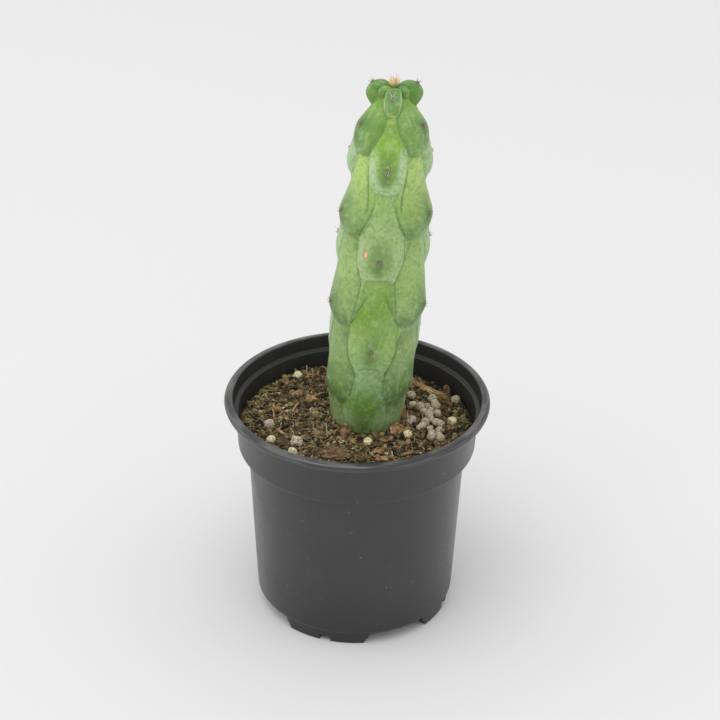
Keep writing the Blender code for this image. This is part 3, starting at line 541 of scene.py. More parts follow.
def listLobes():
    # Every lobe with the place of its areole on the core and the lengths of its slope and chin;
    # a lobe rises along the core's normal and sags by its droop, and starts where that line
    # passes nearest to its areole
    found = []
    leastDroop, gain, gainStart, gainSpan = stem["droop"]
    for index, whorl in enumerate(stem["whorls"]):
        ribs, height, radius, widest, neck, neckRise, chin, bend, slope, fullness, ring = whorl
        droop = leastDroop + gain * (height - gainStart) / gainSpan
        outR = radius - coreWide
        outZ = height + droop * np.hypot(outR, height - coreHeight) - coreHeight
        miss = np.abs(outR * -coreNormalZ + outZ * coreNormalR)
        out = outR * coreNormalR + outZ * coreNormalZ
        best = int(np.argmin(np.where(out > 0, miss, 1000.0)))
        for azimuth in stem["ribs"][ribs]:
            bloomed = abs(azimuth) > 90 or ribs == 2
            found.append({
                "index": index, "set": ribs, "azimuth": math.radians(azimuth), "start": coreAlong[best],
                "rise": out[best], "slope": slope, "chin": chin, "widest": widest, "neck": neck,
                "share": min(max(neckRise / out[best], 0.05), 0.95), "bend": bend, "droop": droop,
                "flank": float(np.interp(height, (168.0, 235.0), (0.9, 0.5))), "ring": ring,
                "fullness": fullness, "glaucous": stem["glaucous"][ribs] if bloomed else 0.0,
                "sway": stem["sway"] * (ribs == 1) * (-1.0 if azimuth > 0 else 1.0),
            })
    return found


lobes = listLobes()


def lobeField(lobe, theta, along, radius):
    # Rise over the core: a long slope down to the areole, then a rounded chin; across, a dome
    # that widens from its neck to the areole and closes in a U
    turn = turnFrom(lobe["azimuth"], theta)
    across = turn * (np.maximum(radius, 2.0) + 0.5 * lobe["rise"])
    up = np.maximum((along - lobe["start"]) / lobe["slope"], 0.0)
    down = np.maximum((lobe["start"] - along) / lobe["chin"], 0.0)
    share, bend, rest = lobe["share"], lobe["bend"], np.maximum(1.0 - up, 0.0)
    above = share + (1.0 - share) * rest**bend - 2.0 * np.maximum(up - 1.0, 0.0)
    above = above + down * (lobe["chin"] / lobe["slope"]) * (1.0 - share) * bend
    below = 1.08 * np.maximum(1.0 - np.minimum(down, 1.0) ** 2.4, 0.0) ** lobe["fullness"]
    below = below - 3.0 * np.maximum(down - 1.0, 0.0)
    least = np.minimum(above, below)
    lengthWise = least - 0.05 * np.log(np.exp((least - above) / 0.05) + np.exp((least - below) / 0.05))
    upper = lobe["neck"] + (lobe["widest"] - lobe["neck"]) * easeBetween(0.0, stem["flare"], rest)
    lower = lobe["widest"] * np.maximum(1.0 - (0.93 * np.minimum(down, 1.0)) ** 2.4, 0.02) ** 0.5
    wide = np.where(along >= lobe["start"], upper, lower) * (1.0 + lobe["sway"] * np.tanh(across / 3.0))
    dome = 1.0 - (across / wide) ** 2
    inside = (dome > 0) & (lengthWise > 0)
    filled = lobe["rise"] * lengthWise * np.abs(dome) ** lobe["flank"]
    outside = 0.8 * lobe["rise"] * np.minimum(dome, 0.0) + lobe["rise"] * np.minimum(lengthWise, 0.0)
    rise = np.where(inside, filled, outside - 0.6)
    ringWidth = lobe["ring"] * np.where(along >= lobe["start"], upper, lobe["widest"])
    return rise, across, up, down, np.hypot(across / ringWidth, down)


def frontGrooves(theta, along, radius):
    # Depth from 0 to 1 of the thin paired lines on the front rib, and of the area between them
    front = [lobe for lobe in lobes if lobe["set"] == 0 and abs(lobe["azimuth"]) < 1.0]
    turn = turnFrom(front[0]["azimuth"], theta)
    sideways = np.abs(turn) * (radius + 1.5)
    depth, area = np.zeros(theta.shape), np.zeros(theta.shape)
    for start, line in zip(stem["grooveStarts"], stem["grooves"]):
        areole = next(lobe["start"] for lobe in front if lobe["index"] == start)
        lengths, widths = zip(*line)
        length = along - areole
        middle, half = (lengths[0] + lengths[-1]) / 2, (lengths[-1] - lengths[0]) / 2
        inside = 1.0 - easeBetween(half - 2.0, half + 1.0, np.abs(length - middle))
        away = np.abs(sideways - np.interp(length, lengths, widths))
        depth = np.maximum(depth, bell(away, stem["grooveWidth"]) * inside)
        area = np.maximum(area, inside * (1.0 - easeBetween(2.0, 3.5, away)))
    return depth, area


def skinMarks(theta, along, radius, height, own, gap):
    # Masks from 0 to 1 by the distances within each point's own lobe, across it and along it, and
    # by the gap to the next highest lobe
    index, across, length = own["index"], own["across"], own["length"]
    nearAreole = (1.0 - easeBetween(0.08, 0.4, own["up"])) * (index > 2.5)
    ring = easeBetween(0.38, 0.66, own["ringAt"]) * (1.0 - easeBetween(1.05, 1.3, own["ringAt"]))
    ring = ring * nearAreole * (own["set"] == 0) * np.interp(index, (4, 6, 8, 10), (0.9, 0.42, 0.12, 0.3))
    # the pale ring is painted stronger on the older lobes' downward-facing chins: painted light over their
    # shade
    ring = ring * (1.0 + 0.8 * easeBetween(0.3, 0.8, own["down"]) * (index > 5))

    # creases, fainter near the soil, at both ends of a lobe and between the front grooves
    # the crease mask cuts each groove and also paints shade into it
    aboveSoil = easeBetween(94.0, 118.0, height)
    ends = np.maximum(easeBetween(0.6, 0.85, own["down"]), easeBetween(0.82, 0.96, own["up"]))
    parted = 1.0 - 0.9 * ends * easeBetween(2.5, 4.5, index)
    parted = parted * np.where((index == 3) | (index == 4), 0.3, 1.0)
    grooves, between = frontGrooves(theta, along, radius)
    crease = bell(gap, stem["creaseWidth"]) * (0.35 + 0.65 * aboveSoil) * parted * (1.0 - 0.75 * between)

    # painted shade, a darker blue-green, round and below the side areoles; and the pale edge of the front bud
    shadeRoundAreole = bell(np.hypot(across / 5.4, (length + 3.2) / 5.2), 1.0) * (index < 4)
    shadeRoundAreole = np.maximum(shadeRoundAreole, bell(np.hypot(across / 4.0, (length + 2.0) / 4.6), 1.0))
    budRim = np.maximum(easeBetween(2.0, 3.2, np.abs(across)), easeBetween(0.6, 0.95, own["down"]))

    # pale dust beside the lowest creases, least at the front
    frontTurn = turnFrom(math.radians(stem["ribs"][0][0]), theta)
    dusted = bell(gap - 0.7, 0.8) * (index > 7.5) * easeBetween(86.0, 92.0, height)
    dusted = dusted * (1.0 - easeBetween(112.0, 124.0, height)) * (1.0 - 0.8 * bell(frontTurn * 18.0, 5.0))

    scarHeight, scarAzimuth = stem["scar"]
    sideways = turnFrom(math.radians(scarAzimuth), theta) * 19.0
    return {
        # dish marks the hollow inside each ring; its darker green is partly the skin's own colour where the
        # bloom is gone and partly painted shade in the hollow
        "ring": ring, "nearAreole": nearAreole, "dish": bell(own["ringAt"], 0.45) * nearAreole,
        "areole": bell(np.hypot(across, length), 0.95) * (index > 0.5),
        # under marks the skin below each areole, which its colour layer darkens as painted shade
        "under": bell(across, 1.9) * bell(length + 3.4, 3.4) * (index > 2.5),
        "knob": bell(np.hypot(across, length + 0.4), 3.0) * (own["set"] == 1) * (index > 4),
        "scar": bell(np.hypot(sideways / 1.1, (height - scarHeight) / 2.1), 0.8),
        "crease": np.maximum(crease, grooves), "shaded": bell(gap, 1.7) * (index == 3), "dusted": dusted,
        "shadeRoundAreole": shadeRoundAreole * (own["set"] == 1), "budRim": budRim * (index == 1), "glaucous": own["glaucous"],
        # on the side lobes the chin's colour layer darkens the downward-facing chins: painted shade
        "sideSet": (own["set"] == 1).astype(float), "chin": easeBetween(0.1, 0.6, own["down"]),
        "grain": np.stack([across, length, index * 7.0], -1) * 0.001,
    }


def stemSkin(theta, along):
    # The core pushed out along its normal by the highest lobe, with soft creases between lobes,
    # then a swollen ring round each areole, a dish inside it, thin furrows in the creases and noise
    radius, height, normalR, normalZ = coreAt(along)
    rises, droops = [np.zeros(theta.shape)], [np.zeros(theta.shape)]
    first, second = np.zeros(theta.shape), np.full(theta.shape, -9.0)
    names = ("across", "up", "down", "ringAt", "index", "set", "length", "glaucous")
    own = {name: np.zeros(theta.shape) for name in names}
    for name in ("ringAt", "across", "length"):
        own[name] += 9.0
    own["index"] += 7.0
    for lobe in lobes:
        rise, across, up, down, ringAt = lobeField(lobe, theta, along, radius)
        rises.append(rise)
        droops.append(np.full(theta.shape, lobe["droop"]))
        wins = rise > first
        second = np.maximum(second, np.where(wins, first, rise))
        first = np.where(wins, rise, first)
        length = along - lobe["start"]
        values = (across, up, down, ringAt, lobe["index"], lobe["set"], length, lobe["glaucous"])
        for name, value in zip(names, values):
            own[name] = np.where(wins, value, own[name])
    rises = np.array(rises)
    rounding = np.interp(height, stem["roundingHeights"][::-1], stem["rounding"][::-1])
    weights = np.exp((rises - first) / rounding)
    total = weights.sum(axis=0)
    rise = first + rounding * np.log(total)
    droop = (weights * np.array(droops)).sum(axis=0) / total

    marks = skinMarks(theta, along, radius, height, own, first - second)
    nearAreole, knob = marks.pop("nearAreole"), marks.pop("knob")
    young = 1.0 - easeBetween(5.0, 9.0, own["index"])
    noisePlace = np.stack([np.sin(theta) * 18.0, np.cos(theta) * 18.0, along], -1)
    uneven = roughNoise(noisePlace, 9.0, 5, 3)
    rise = rise + easeBetween(1.5, 4.0, radius) * (
        stem["ringSwell"] * (0.2 + 0.8 * young) * bell(own["ringAt"] - 0.86, 0.17) * nearAreole
        - stem["dish"] * (0.25 + 0.75 * young) * bell(own["ringAt"] - 0.2, 0.33) * nearAreole
        - stem["creaseDepth"] * marks["crease"] + stem["areoleRise"] * marks["areole"]
        + stem["unevenness"] * uneven + stem["knob"] * knob
    )
    rise = rise - stem["scarDepth"] * marks["scar"]
    low, high = stem["lobesFade"]
    rise = rise * easeBetween(low, high, height) * (1.0 - np.exp(-((radius / 1.6) ** 2)))
    out = radius + rise * normalR
    x = axisAt(height) + out * np.sin(theta)
    y = stem["axisY"] - out * np.cos(theta)
    return np.stack([x, y, height + rise * normalZ - droop * rise], axis=-1), marks


def areoleFrames():
    # Place, outward and sideways direction of every areole above the soil
    found = []
    for lobe in lobes:
        if lobe["index"] in (0, len(stem["whorls"]) - 1):
            continue
        theta = lobe["azimuth"] + np.array([0.0, 0.05, -0.05, 0.0, 0.0])
        along = lobe["start"] + np.array([0.0, 0.0, 0.0, 0.5, -0.5])
        skin, _ = stemSkin(theta, along)
        side = unit(skin[1] - skin[2])
        out = unit(np.cross(side, skin[3] - skin[4]))
        found.append((skin[0], out, side, lobe["index"]))
    return found


# Colours of the skin: stops from the soil at 0 to the crown at 1 for the front and the side sets
# of lobes, then each layer over them in its order, with its strength and screen colour
skinPaint = {
    "heights": (0.084, 0.236),  # metres
    "front": (
        (0.05, 118, 158, 86), (0.11, 102, 144, 46), (0.2, 154, 184, 130), (0.29, 146, 180, 96),
        (0.4, 118, 156, 50), (0.63, 156, 181, 118), (0.86, 130, 176, 58), (0.98, 80, 130, 44),
    ),
    "flank": (
        (0.04, 140, 162, 104), (0.11, 94, 128, 52), (0.25, 136, 164, 98), (0.4, 142, 168, 102),
        (0.52, 150, 180, 104), (0.66, 134, 163, 90), (0.8, 178, 208, 114), (0.9, 106, 150, 60),
        (0.97, 128, 170, 66),
    ),
    # Painted shade among the layers: the side lobes' chins, the faces round the side areoles, the skin under
    # each areole, the dish in part, the shaded band and the creases
    "layers": {
        "mottle": (0.25, (162, 188, 136)), "chin": (0.4, (98, 136, 90)), "shadeRoundAreole": (0.7, (78, 120, 82)),
        "yellow": (0.4, (186, 198, 112)), "ring": (0.85, (190, 212, 164)),
        "glaucous": (0.7, (164, 190, 146)), "budRim": (0.6, (188, 216, 158)),
        "dish": (0.65, (92, 124, 68)), "under": (0.6, (84, 112, 58)), "bloom": (0.5, (178, 200, 178)),
        "dusted": (0.5, (172, 194, 172)), "specks": (0.55, (182, 194, 92)), "fine": (0.36, (92, 130, 62)),
        "pale": (0.34, (178, 202, 134)), "shaded": (0.5, (84, 136, 48)), "crease": (0.6, (70, 104, 48)),
        "areole": (0.85, (92, 84, 60)),
    },
    "scar": ((0.1, 150, 156, 96), (0.4, 176, 140, 92), (0.75, 226, 192, 146)),
    "scarStrength": 2.2,
}


def makeSkinMaterial():
    # Two ramps up the stem, then one layer over another where the mesh's masks and patches of
    # noise say, with streaks of bloom that follow each lobe
    material, tree, shader = newMaterial("cactusSkin", 0.46, 0.42)
    place = objectPlace(tree)
    height = put(tree, "ShaderNodeSeparateXYZ", {0: place}).outputs["Z"]
    share = rescale(tree, height, *skinPaint["heights"])
    side = mask(tree, "sideSet")
    streaked = moved(tree, mask(tree, "grain", "Vector"), Scale=(1.0, 0.14, 1.0))

    labels = ("ring", "glaucous", "budRim", "dish", "under", "shaded", "crease", "areole")
    where = {label: mask(tree, label) for label in labels}
    where["mottle"] = patches(tree, place, 12.0, 0.45, 0.3)
    where["fine"] = patches(tree, place, 1.5, 0.47, 0.14)
    where["pale"] = patches(tree, place, 2.6, 0.5, 0.22)
    for label, first, second in (
        ("chin", mask(tree, "chin"), side),
        ("shadeRoundAreole", mask(tree, "shadeRoundAreole"), patches(tree, place, 6.0, 0.36, 0.3)),
        ("yellow", patches(tree, place, 4.6, 0.56, 0.12), patches(tree, place, 26.0, 0.44, 0.2)),
        ("bloom", patches(tree, streaked, 1.1, 0.5, 0.25), patches(tree, place, 9.0, 0.46, 0.2)),
        ("dusted", mask(tree, "dusted"), patches(tree, place, 1.6, 0.42, 0.25)),
        ("specks", patches(tree, place, 1.9, 0.6, 0.07), patches(tree, place, 11.0, 0.5, 0.1)),
    ):
        where[label] = times(tree, first, second)

    colour = blend(tree, side, ramp(tree, share, skinPaint["front"]), ramp(tree, share, skinPaint["flank"]))
    for label, (strength, screen) in skinPaint["layers"].items():
        colour = tinge(tree, colour, where[label], strength, screen)
    scar = mask(tree, "scar")
    healed = times(tree, scar, skinPaint["scarStrength"], clamp=True)
    colour = blend(tree, healed, colour, ramp(tree, scar, skinPaint["scar"]))

    rough = rescale(tree, where["bloom"], 0.0, 1.0, 0.42, 0.66)
    normal = bumps(tree, noiseOf(tree, streaked, 1100.0, 2.0), 0.0001, 0.7, relief(tree, place, 0.8, 0.09))
    wire(tree, shader, colour, normal, rough)
    shader.inputs["Subsurface Weight"].default_value = 0.18
    shader.inputs["Subsurface Radius"].default_value = (0.5, 1.0, 0.25)
    shader.inputs["Subsurface Scale"].default_value = 0.002
    return material


def makeStem():
    # Rings by arc length, few under the soil and many above it, and a point at crown and root
    sides = stem["sides"]
    surface = float(np.interp(81.0, coreHeight, coreAlong))
    buried = np.linspace(0.0, surface, stem["buriedRings"], endpoint=False)
    along = np.concatenate([buried, np.linspace(surface, coreAlong[-1], stem["rings"])[:-1]])
    theta = roundAngles(sides)
    gridAlong, gridTheta = np.meshgrid(along, theta, indexing="ij")
    points, masks = stemSkin(gridTheta, gridAlong)
    points = points.reshape(-1, 3)
    crownPoint, crownMasks = stemSkin(np.zeros(1), np.array([coreAlong[-1]]))
    rootPoint = np.array([[stem["axisX"], stem["axisY"], stem["rootEnd"]]])
    flat = {}
    for name, values in masks.items():
        shape = (-1, 3) if name == "grain" else (-1,)
        ends = np.concatenate([crownMasks[name], crownMasks[name]])
        flat[name] = np.concatenate([values.reshape(shape), ends])
    count = len(along) * sides
    faces = [
        gridFaces(len(along), sides), fanFaces(count - sides, sides, count),
        fanFaces(0, sides, count + 1, flip=True),
    ]
    points = np.concatenate([points, crownPoint, rootPoint])
    return makePiece("stemSkin", points, faces, makeSkinMaterial(), flat, ["stem"])


makeStem()


# Spines and wool
armour = {
    "spinesEach": 6, "length": 1.7, "radius": 0.11,
    "hairsEach": 26, "hairLength": 0.75, "hairRadius": 0.05,
    "crownSpines": 12, "crownLength": 5.8, "crownHairs": 240, "crownHairLength": 4.0,
    "crownOffset": (-0.2, 0.0, 0.8),
    "paleAreoles": {1: 1.4, 4: 0.7},  # whorls whose spines are white bristles, and their length
    # colours from the root to the tip
    "old": ((0.0, 150, 132, 96), (0.5, 98, 78, 58), (1.0, 52, 38, 32)),
    "white": ((0.0, 236, 232, 210), (0.7, 250, 250, 242), (1.0, 236, 224, 206)),
    "fresh": ((0.0, 240, 216, 150), (0.45, 226, 170, 110), (0.7, 186, 96, 64), (1.0, 246, 220, 212)),
}


def makeSpineMaterial():
    # Dark old spines, white bristles at two areoles and reddish fresh ones on the crown
    material, tree, shader = newMaterial("spineHorn", 0.45, 0.5)
    tip = mask(tree, "tip")
    colour = ramp(tree, tip, armour["old"])
    for label in ("white", "fresh"):
        colour = blend(tree, mask(tree, label), colour, ramp(tree, tip, armour[label]))
    wire(tree, shader, colour, relief(tree, objectPlace(tree), 0.3, 0.03))
    return material


def makeWoolMaterial():
    # Grey and brown felt, cream on the crown
    material, tree, shader = newMaterial("areoleWool", 0.9, 0.2)
    shade = patches(tree, objectPlace(tree), 0.7, 0.4, 0.3)
    colour = blend(tree, shade, paint(226, 218, 190), paint(176, 148, 104))
    wire(tree, shader, blend(tree, mask(tree, "fresh"), colour, paint(255, 240, 190)))
    shader.inputs["Sheen Weight"].default_value = 0.3
    return material


def bentThreads(roots, directions, sags, lengths, radius, steps, sides):
    # Tapering threads that leave a root in a direction and bend towards another
    share = np.linspace(0.0, 1.0, steps)[None, :, None]
    paths = roots[:, None, :] + lengths[:, None, None] * (
        share * directions[:, None, :] + share**2 * sags[:, None, :])
    radii = np.broadcast_to(radius * (1.0 - 0.85 * share[:, :, 0] ** 1.5), paths.shape[:2])
    points, faces = tubesAlong(paths, radii, sides)
    tips = np.broadcast_to(share[:, :, 0, None], (len(roots), steps, sides)).reshape(-1)
    return points, faces, tips


def makeArmour():
    # A star of spines and a tuft of wool at each areole, and a brush of both on the crown
    draw = np.random.default_rng(3)
    spineSets, hairSets = [], []
    for place, out, side, index in areoleFrames():
        over = np.cross(out, side)
        count = armour["spinesEach"]
        angle = 2 * math.pi * (np.arange(count) + draw.uniform(0, 1)) / count
        lean = draw.uniform(0.5, 1.3, count)
        fan = np.cos(angle)[:, None] * side + np.sin(angle)[:, None] * over
        way = unit(out[None] + lean[:, None] * fan)
        roots = place[None] + 0.35 * fan - 0.25 * out[None]
        white = 1.0 if index in armour["paleAreoles"] else 0.0
        length = armour["length"] * draw.uniform(0.55, 1.1, count) * armour["paleAreoles"].get(index, 1.0)
        sag = draw.normal(0.0, 0.12, (count, 3)) + np.array([0.0, 0.0, 0.12])
        spineSets.append((roots, way, sag, length, np.zeros(count), np.full(count, white)))
        count = armour["hairsEach"]
        angle, spread = draw.uniform(0, 2 * math.pi, count), np.sqrt(draw.uniform(0, 1, count))
        fan = np.cos(angle)[:, None] * side + np.sin(angle)[:, None] * over
        roots = place[None] + 0.6 * spread[:, None] * fan - 0.15 * out[None]
        way = unit(out[None] + 0.8 * spread[:, None] * fan)
        length = armour["hairLength"] * draw.uniform(0.5, 1.2, count)
        sag = draw.normal(0.0, 0.3, (count, 3))
        hairSets.append((roots, way, sag, length, np.zeros(count), np.zeros(count)))
    crown = np.array([axisAt(stem["crownHeight"]), stem["axisY"], stem["crownHeight"]])
    for sets, count, length, spread in (
        (spineSets, armour["crownSpines"], armour["crownLength"], 1.5),
        (hairSets, armour["crownHairs"], armour["crownHairLength"], 1.6),
    ):
        angle = draw.uniform(0, 2 * math.pi, count)
        reach = spread * np.sqrt(draw.uniform(0, 1, count))
        fan = np.stack([np.cos(angle), np.sin(angle), np.zeros(count)], -1)
        roots = crown[None] + reach[:, None] * fan + np.array(armour["crownOffset"])
        way = unit(np.array([0.0, 0.0, 1.0])[None] + 0.2 * reach[:, None] * fan)
        length = length * draw.uniform(0.6, 1.0, count)
        sag = draw.normal(0.0, 0.1, (count, 3))
        sets.append((roots, way, sag, length, np.ones(count), np.zeros(count)))
    for name, sets, radius, steps, sides, material in (
        ("areoleSpines", spineSets, armour["radius"], 5, 5, makeSpineMaterial()),
        ("areoleWool", hairSets, armour["hairRadius"], 3, 3, makeWoolMaterial()),
    ):
        roots, ways, sags, lengths, fresh, white = (np.concatenate(rows) for rows in zip(*sets))
        points, faces, tips = bentThreads(roots, ways, sags, lengths, radius, steps, sides)
        each = steps * sides
        masks = {"tip": tips, "fresh": np.repeat(fresh, each), "white": np.repeat(white, each)}
        makePiece(name, points, faces, material, masks)


makeArmour()


# Pot
pot = {
    "height": 97.6, "lipRadius": 55.0, "mouthRadius": 51.4, "ledgeDrop": 6.0, "collarRadius": 51.9,
    "bandTopRadius": 50.3, "bandFootRadius": 49.4, "bandFoot": 76.0, "bodyTopRadius": 45.2,
    "bodyFootRadius": 41.7, "wall": 1.2, "footHeight": 6.0, "footRadius": 40.5, "footDepth": 3.3,
    "floorUnder": 3.5, "floorTop": 5.0, "sides": 256, "feet": 4, "firstFoot": -17.5, "gapHalf": 17.0,
    "gapSlope": 4.5, "notchHalf": 3.5, "notchHeight": 2.4, "drainRadius": 31.0, "drainWidth": 3.5,
    "drainHalf": 13.0, "centreDrain": 1.8, "rounding": 0.35,
}


def bodyRadius(height):
    # The outside of the tapered body, straight from its foot to the band
    share = (height - pot["footHeight"]) / (pot["bandFoot"] - pot["footHeight"])
    return pot["bodyFootRadius"] + (pot["bodyTopRadius"] - pot["bodyFootRadius"]) * share


def innerProfile():
    # The pot's inside below its ledge, from the floor up, as radius and height
    wall, foot, band, floor = pot["wall"], pot["bandFoot"], pot["bandFootRadius"], pot["floorTop"]
    low = floor + 1.6
    corner = bodyRadius(low) - wall
    return [
        (corner - 1.6, floor), (corner - 0.48, floor + 0.48), (corner, low),
        (bodyRadius(foot - 1.2) - wall, foot - 1.2), (bodyRadius(foot) - wall + 0.4, foot + 0.2),
        (band - wall - 0.5, foot + 1.0), (band - wall, foot + 1.9),
        (pot["bandTopRadius"] - wall, pot["height"] - pot["ledgeDrop"] - 0.5),
    ]


def potProfile():
    # The whole section of the wall: down the inside, across the floor, up the outside
    top, ledge, foot = pot["height"], pot["height"] - pot["ledgeDrop"], pot["bandFoot"]
    mouth, lip, collar = pot["mouthRadius"], pot["lipRadius"], pot["collarRadius"]
    bodyTop, bodyFoot, low = pot["bodyTopRadius"], pot["bodyFootRadius"], pot["footHeight"]
    outer, inner = pot["footRadius"], pot["footRadius"] - pot["footDepth"]
    band, drain, under = pot["bandFootRadius"], pot["centreDrain"], pot["floorUnder"]
    return [
        (mouth + 0.5, top), (mouth, top - 0.4), (mouth - 0.5, ledge + 0.3), (mouth - 0.8, ledge),
        *reversed(innerProfile()),
        (drain, pot["floorTop"]), (drain, under), (inner, under), (inner + 0.3, 0.0),
        (outer - 0.3, 0.0), (outer, low - 0.1), (bodyFoot - 0.3, low), (bodyFoot + 0.05, low + 0.7),
        (bodyTop, foot - 1.6), (bodyTop + 0.5, foot - 0.9), (band - 1.0, foot - 0.4), (band - 0.2, foot),
        (band, foot + 0.8), (pot["bandTopRadius"], ledge - 0.9), (collar, ledge - 0.5),
        (collar + 0.3, top - 1.9), (lip - 1.6, top - 1.9), (lip - 1.2, top - 3.1), (lip - 0.5, top - 3.1),
        (lip, top - 1.6), (lip - 0.6, top - 0.6), (lip - 1.7, top - 0.1),
    ]


def roundedLoop(profile, reach):
    # Each corner of the closed loop becomes a small curve of four points
    loop = np.array(profile)
    before, after = np.roll(loop, 1, 0) - loop, np.roll(loop, -1, 0) - loop
    lengths = [np.linalg.norm(way, axis=1) for way in (before, after)]
    cut = np.minimum(reach, 0.4 * np.minimum(*lengths))[:, None]
    start, end = loop + unit(before) * cut, loop + unit(after) * cut
    share = np.array([0.0, 0.33, 0.67, 1.0])[None, :, None]
    first, middle, last = (1 - share) ** 2, 2 * share * (1 - share), share**2
    curve = first * start[:, None] + middle * loop[:, None] + last * end[:, None]
    return curve.reshape(-1, 2)


def sweptSector(name, profile, azimuth, half, slope, collection, steps=14):
    # A loop of radius and height swept between two azimuths, wider towards the ground by slope
    profile = np.array(profile)
    share = np.linspace(-1.0, 1.0, steps)[:, None]
    widening = slope * (1.0 - profile[None, :, 1] / pot["footHeight"])
    angle = np.radians(azimuth + (half + widening) * share)
    x, y = onCircle(angle, profile[None, :, 0])
    points = np.stack([x, y, np.broadcast_to(profile[None, :, 1], x.shape)], -1).reshape(-1, 3) * 0.001
    mesh = bpy.data.meshes.new(name)
    count = len(profile)
    ends = [list(range(count))[::-1], list(range((steps - 1) * count, steps * count))]
    mesh.from_pydata(points.tolist(), [], gridFaces(steps, count).tolist() + ends)
    shape = bmesh.new()
    shape.from_mesh(mesh)
    bmesh.ops.triangulate(shape, faces=shape.faces)
    bmesh.ops.recalc_face_normals(shape, faces=shape.faces)
    shape.to_mesh(mesh)
    shape.free()
    cutter = bpy.data.objects.new(name, mesh)
    collection.objects.link(cutter)


def makePotMaterial():
    # Black plastic with fine lines round it, rubbed specks, dust, and a lip lightened by scuffs and
    # painted sheen; painted shade makes it darker towards the ground and inside
    material, tree, shader = newMaterial("potPlastic", 0.34, 0.66)
    place = objectPlace(tree)
    inner = mask(tree, "inner")
    height = put(tree, "ShaderNodeSeparateXYZ", {0: place}).outputs["Z"]
    squashed = moved(tree, place, Scale=(0.04, 0.04, 1.0))
    shade = patches(tree, place, 30.0, 0.4, 0.3)
    wear = times(tree, patches(tree, place, 1.3, 0.68, 0.05), patches(tree, place, 16.0, 0.5, 0.1))
    dust = times(tree, patches(tree, place, 0.8, 0.52, 0.2), patches(tree, place, 22.0, 0.46, 0.2))
    # the lip's lighter band is partly real scuffs and partly a painted sheen along the rim
    lipScuffsAndSheen = times(tree, rescale(tree, height, 0.0935, 0.0972), patches(tree, squashed, 0.7, 0.44, 0.2))
    colour = blend(tree, shade, paint(38, 38, 39), paint(44, 44, 44))
    for where, strength, screen in (
        (wear, 0.6, (132, 132, 130)), (dust, 0.12, (96, 94, 88)), (lipScuffsAndSheen, 0.45, (124, 123, 121)),
        # painted shade: darker towards the ground and inside the pot
        (rescale(tree, height, 0.0, 0.035, 0.85, 0.0), 1.0, (20, 20, 21)), (inner, 0.85, (17, 17, 19)),
    ):
        colour = tinge(tree, colour, where, strength, screen)
    rough = rescale(tree, shade, 0.0, 1.0, 0.3, 0.4)
    for where, strength in ((dust, 0.25), (inner, 0.2)):
        rough = figure(tree, "ADD", rough, times(tree, where, strength))
    lines = noiseOf(tree, squashed, 1500.0, 2.0)
    normal = bumps(tree, lines, 0.00003, 0.6, relief(tree, place, 0.5, 0.012))
    wire(tree, shader, colour, normal, rough)
    return material


def makePot():
    # The rounded section turned round Z, then the gaps between the feet, their notches and the
    # drains are cut out
    profile = roundedLoop(potProfile(), pot["rounding"])
    sides, rows = pot["sides"], len(profile)
    x, y = onCircle(roundAngles(sides)[None, :], profile[:, :1])
    points = np.stack([x, y, np.broadcast_to(profile[:, 1:], x.shape)], -1).reshape(-1, 3)
    closing = np.concatenate([np.arange(sides) + (rows - 1) * sides, np.arange(sides)])
    faces = [gridFaces(rows, sides), closing[gridFaces(2, sides)]]
    row = np.arange(rows)
    innerEnd = 4 * (4 + len(innerProfile()))  # four rows for each corner down to the floor
    masks = {"inner": np.repeat((row > 5) & (row < innerEnd), sides)}
    piece = makePiece("potShell", points, faces, makePotMaterial(), masks, ["pot"])

    cutters = bpy.data.collections.new("potCutters")
    bpy.context.scene.collection.children.link(cutters)
    inner, outer = pot["footRadius"] - pot["footDepth"] - 0.9, pot["bodyFootRadius"] + 2.0
    under, recess = -2.0, pot["floorUnder"] + 0.25
    gapTop, notchTop = pot["footHeight"] + 1.0, pot["notchHeight"]
    near, far = pot["drainRadius"] - pot["drainWidth"] / 2, pot["drainRadius"] + pot["drainWidth"] / 2
    low, high = pot["floorUnder"] - 1.0, pot["floorTop"] + 1.0
    gap = [(inner, under), (inner, recess), (inner + 2.2, recess), (outer, gapTop), (outer, under)]
    notch = [(inner, under), (inner, notchTop), (outer, notchTop), (outer, under)]
    drain = [(near, low), (near, high), (far, high), (far, low)]
    step = 360.0 / pot["feet"]
    for index in range(pot["feet"]):
        foot = pot["firstFoot"] + index * step
        sweptSector(f"gap{index}", gap, foot + step / 2, pot["gapHalf"], pot["gapSlope"], cutters)
        sweptSector(f"drain{index}", drain, foot + step / 2, pot["drainHalf"], 0.0, cutters)
        sweptSector(f"notch{index}", notch, foot, pot["notchHalf"], 0.0, cutters, 5)
    cut = piece.modifiers.new("cut", "BOOLEAN")
    cut.operation, cut.operand_type, cut.collection, cut.solver = "DIFFERENCE", "COLLECTION", cutters, "EXACT"
    bpy.context.view_layer.update()
    depsgraph = bpy.context.evaluated_depsgraph_get()
    finished = bpy.data.meshes.new_from_object(piece.evaluated_get(depsgraph))
    piece.modifiers.clear()
    piece.data = finished
    for cutter in list(cutters.objects):
        bpy.data.objects.remove(cutter, do_unlink=True)
    bpy.data.collections.remove(cutters)
    finished.shade_smooth()
    finished.set_sharp_from_angle(angle=math.radians(40.0))
    print("pot cut, with", len(finished.polygons), "faces")


makePot()


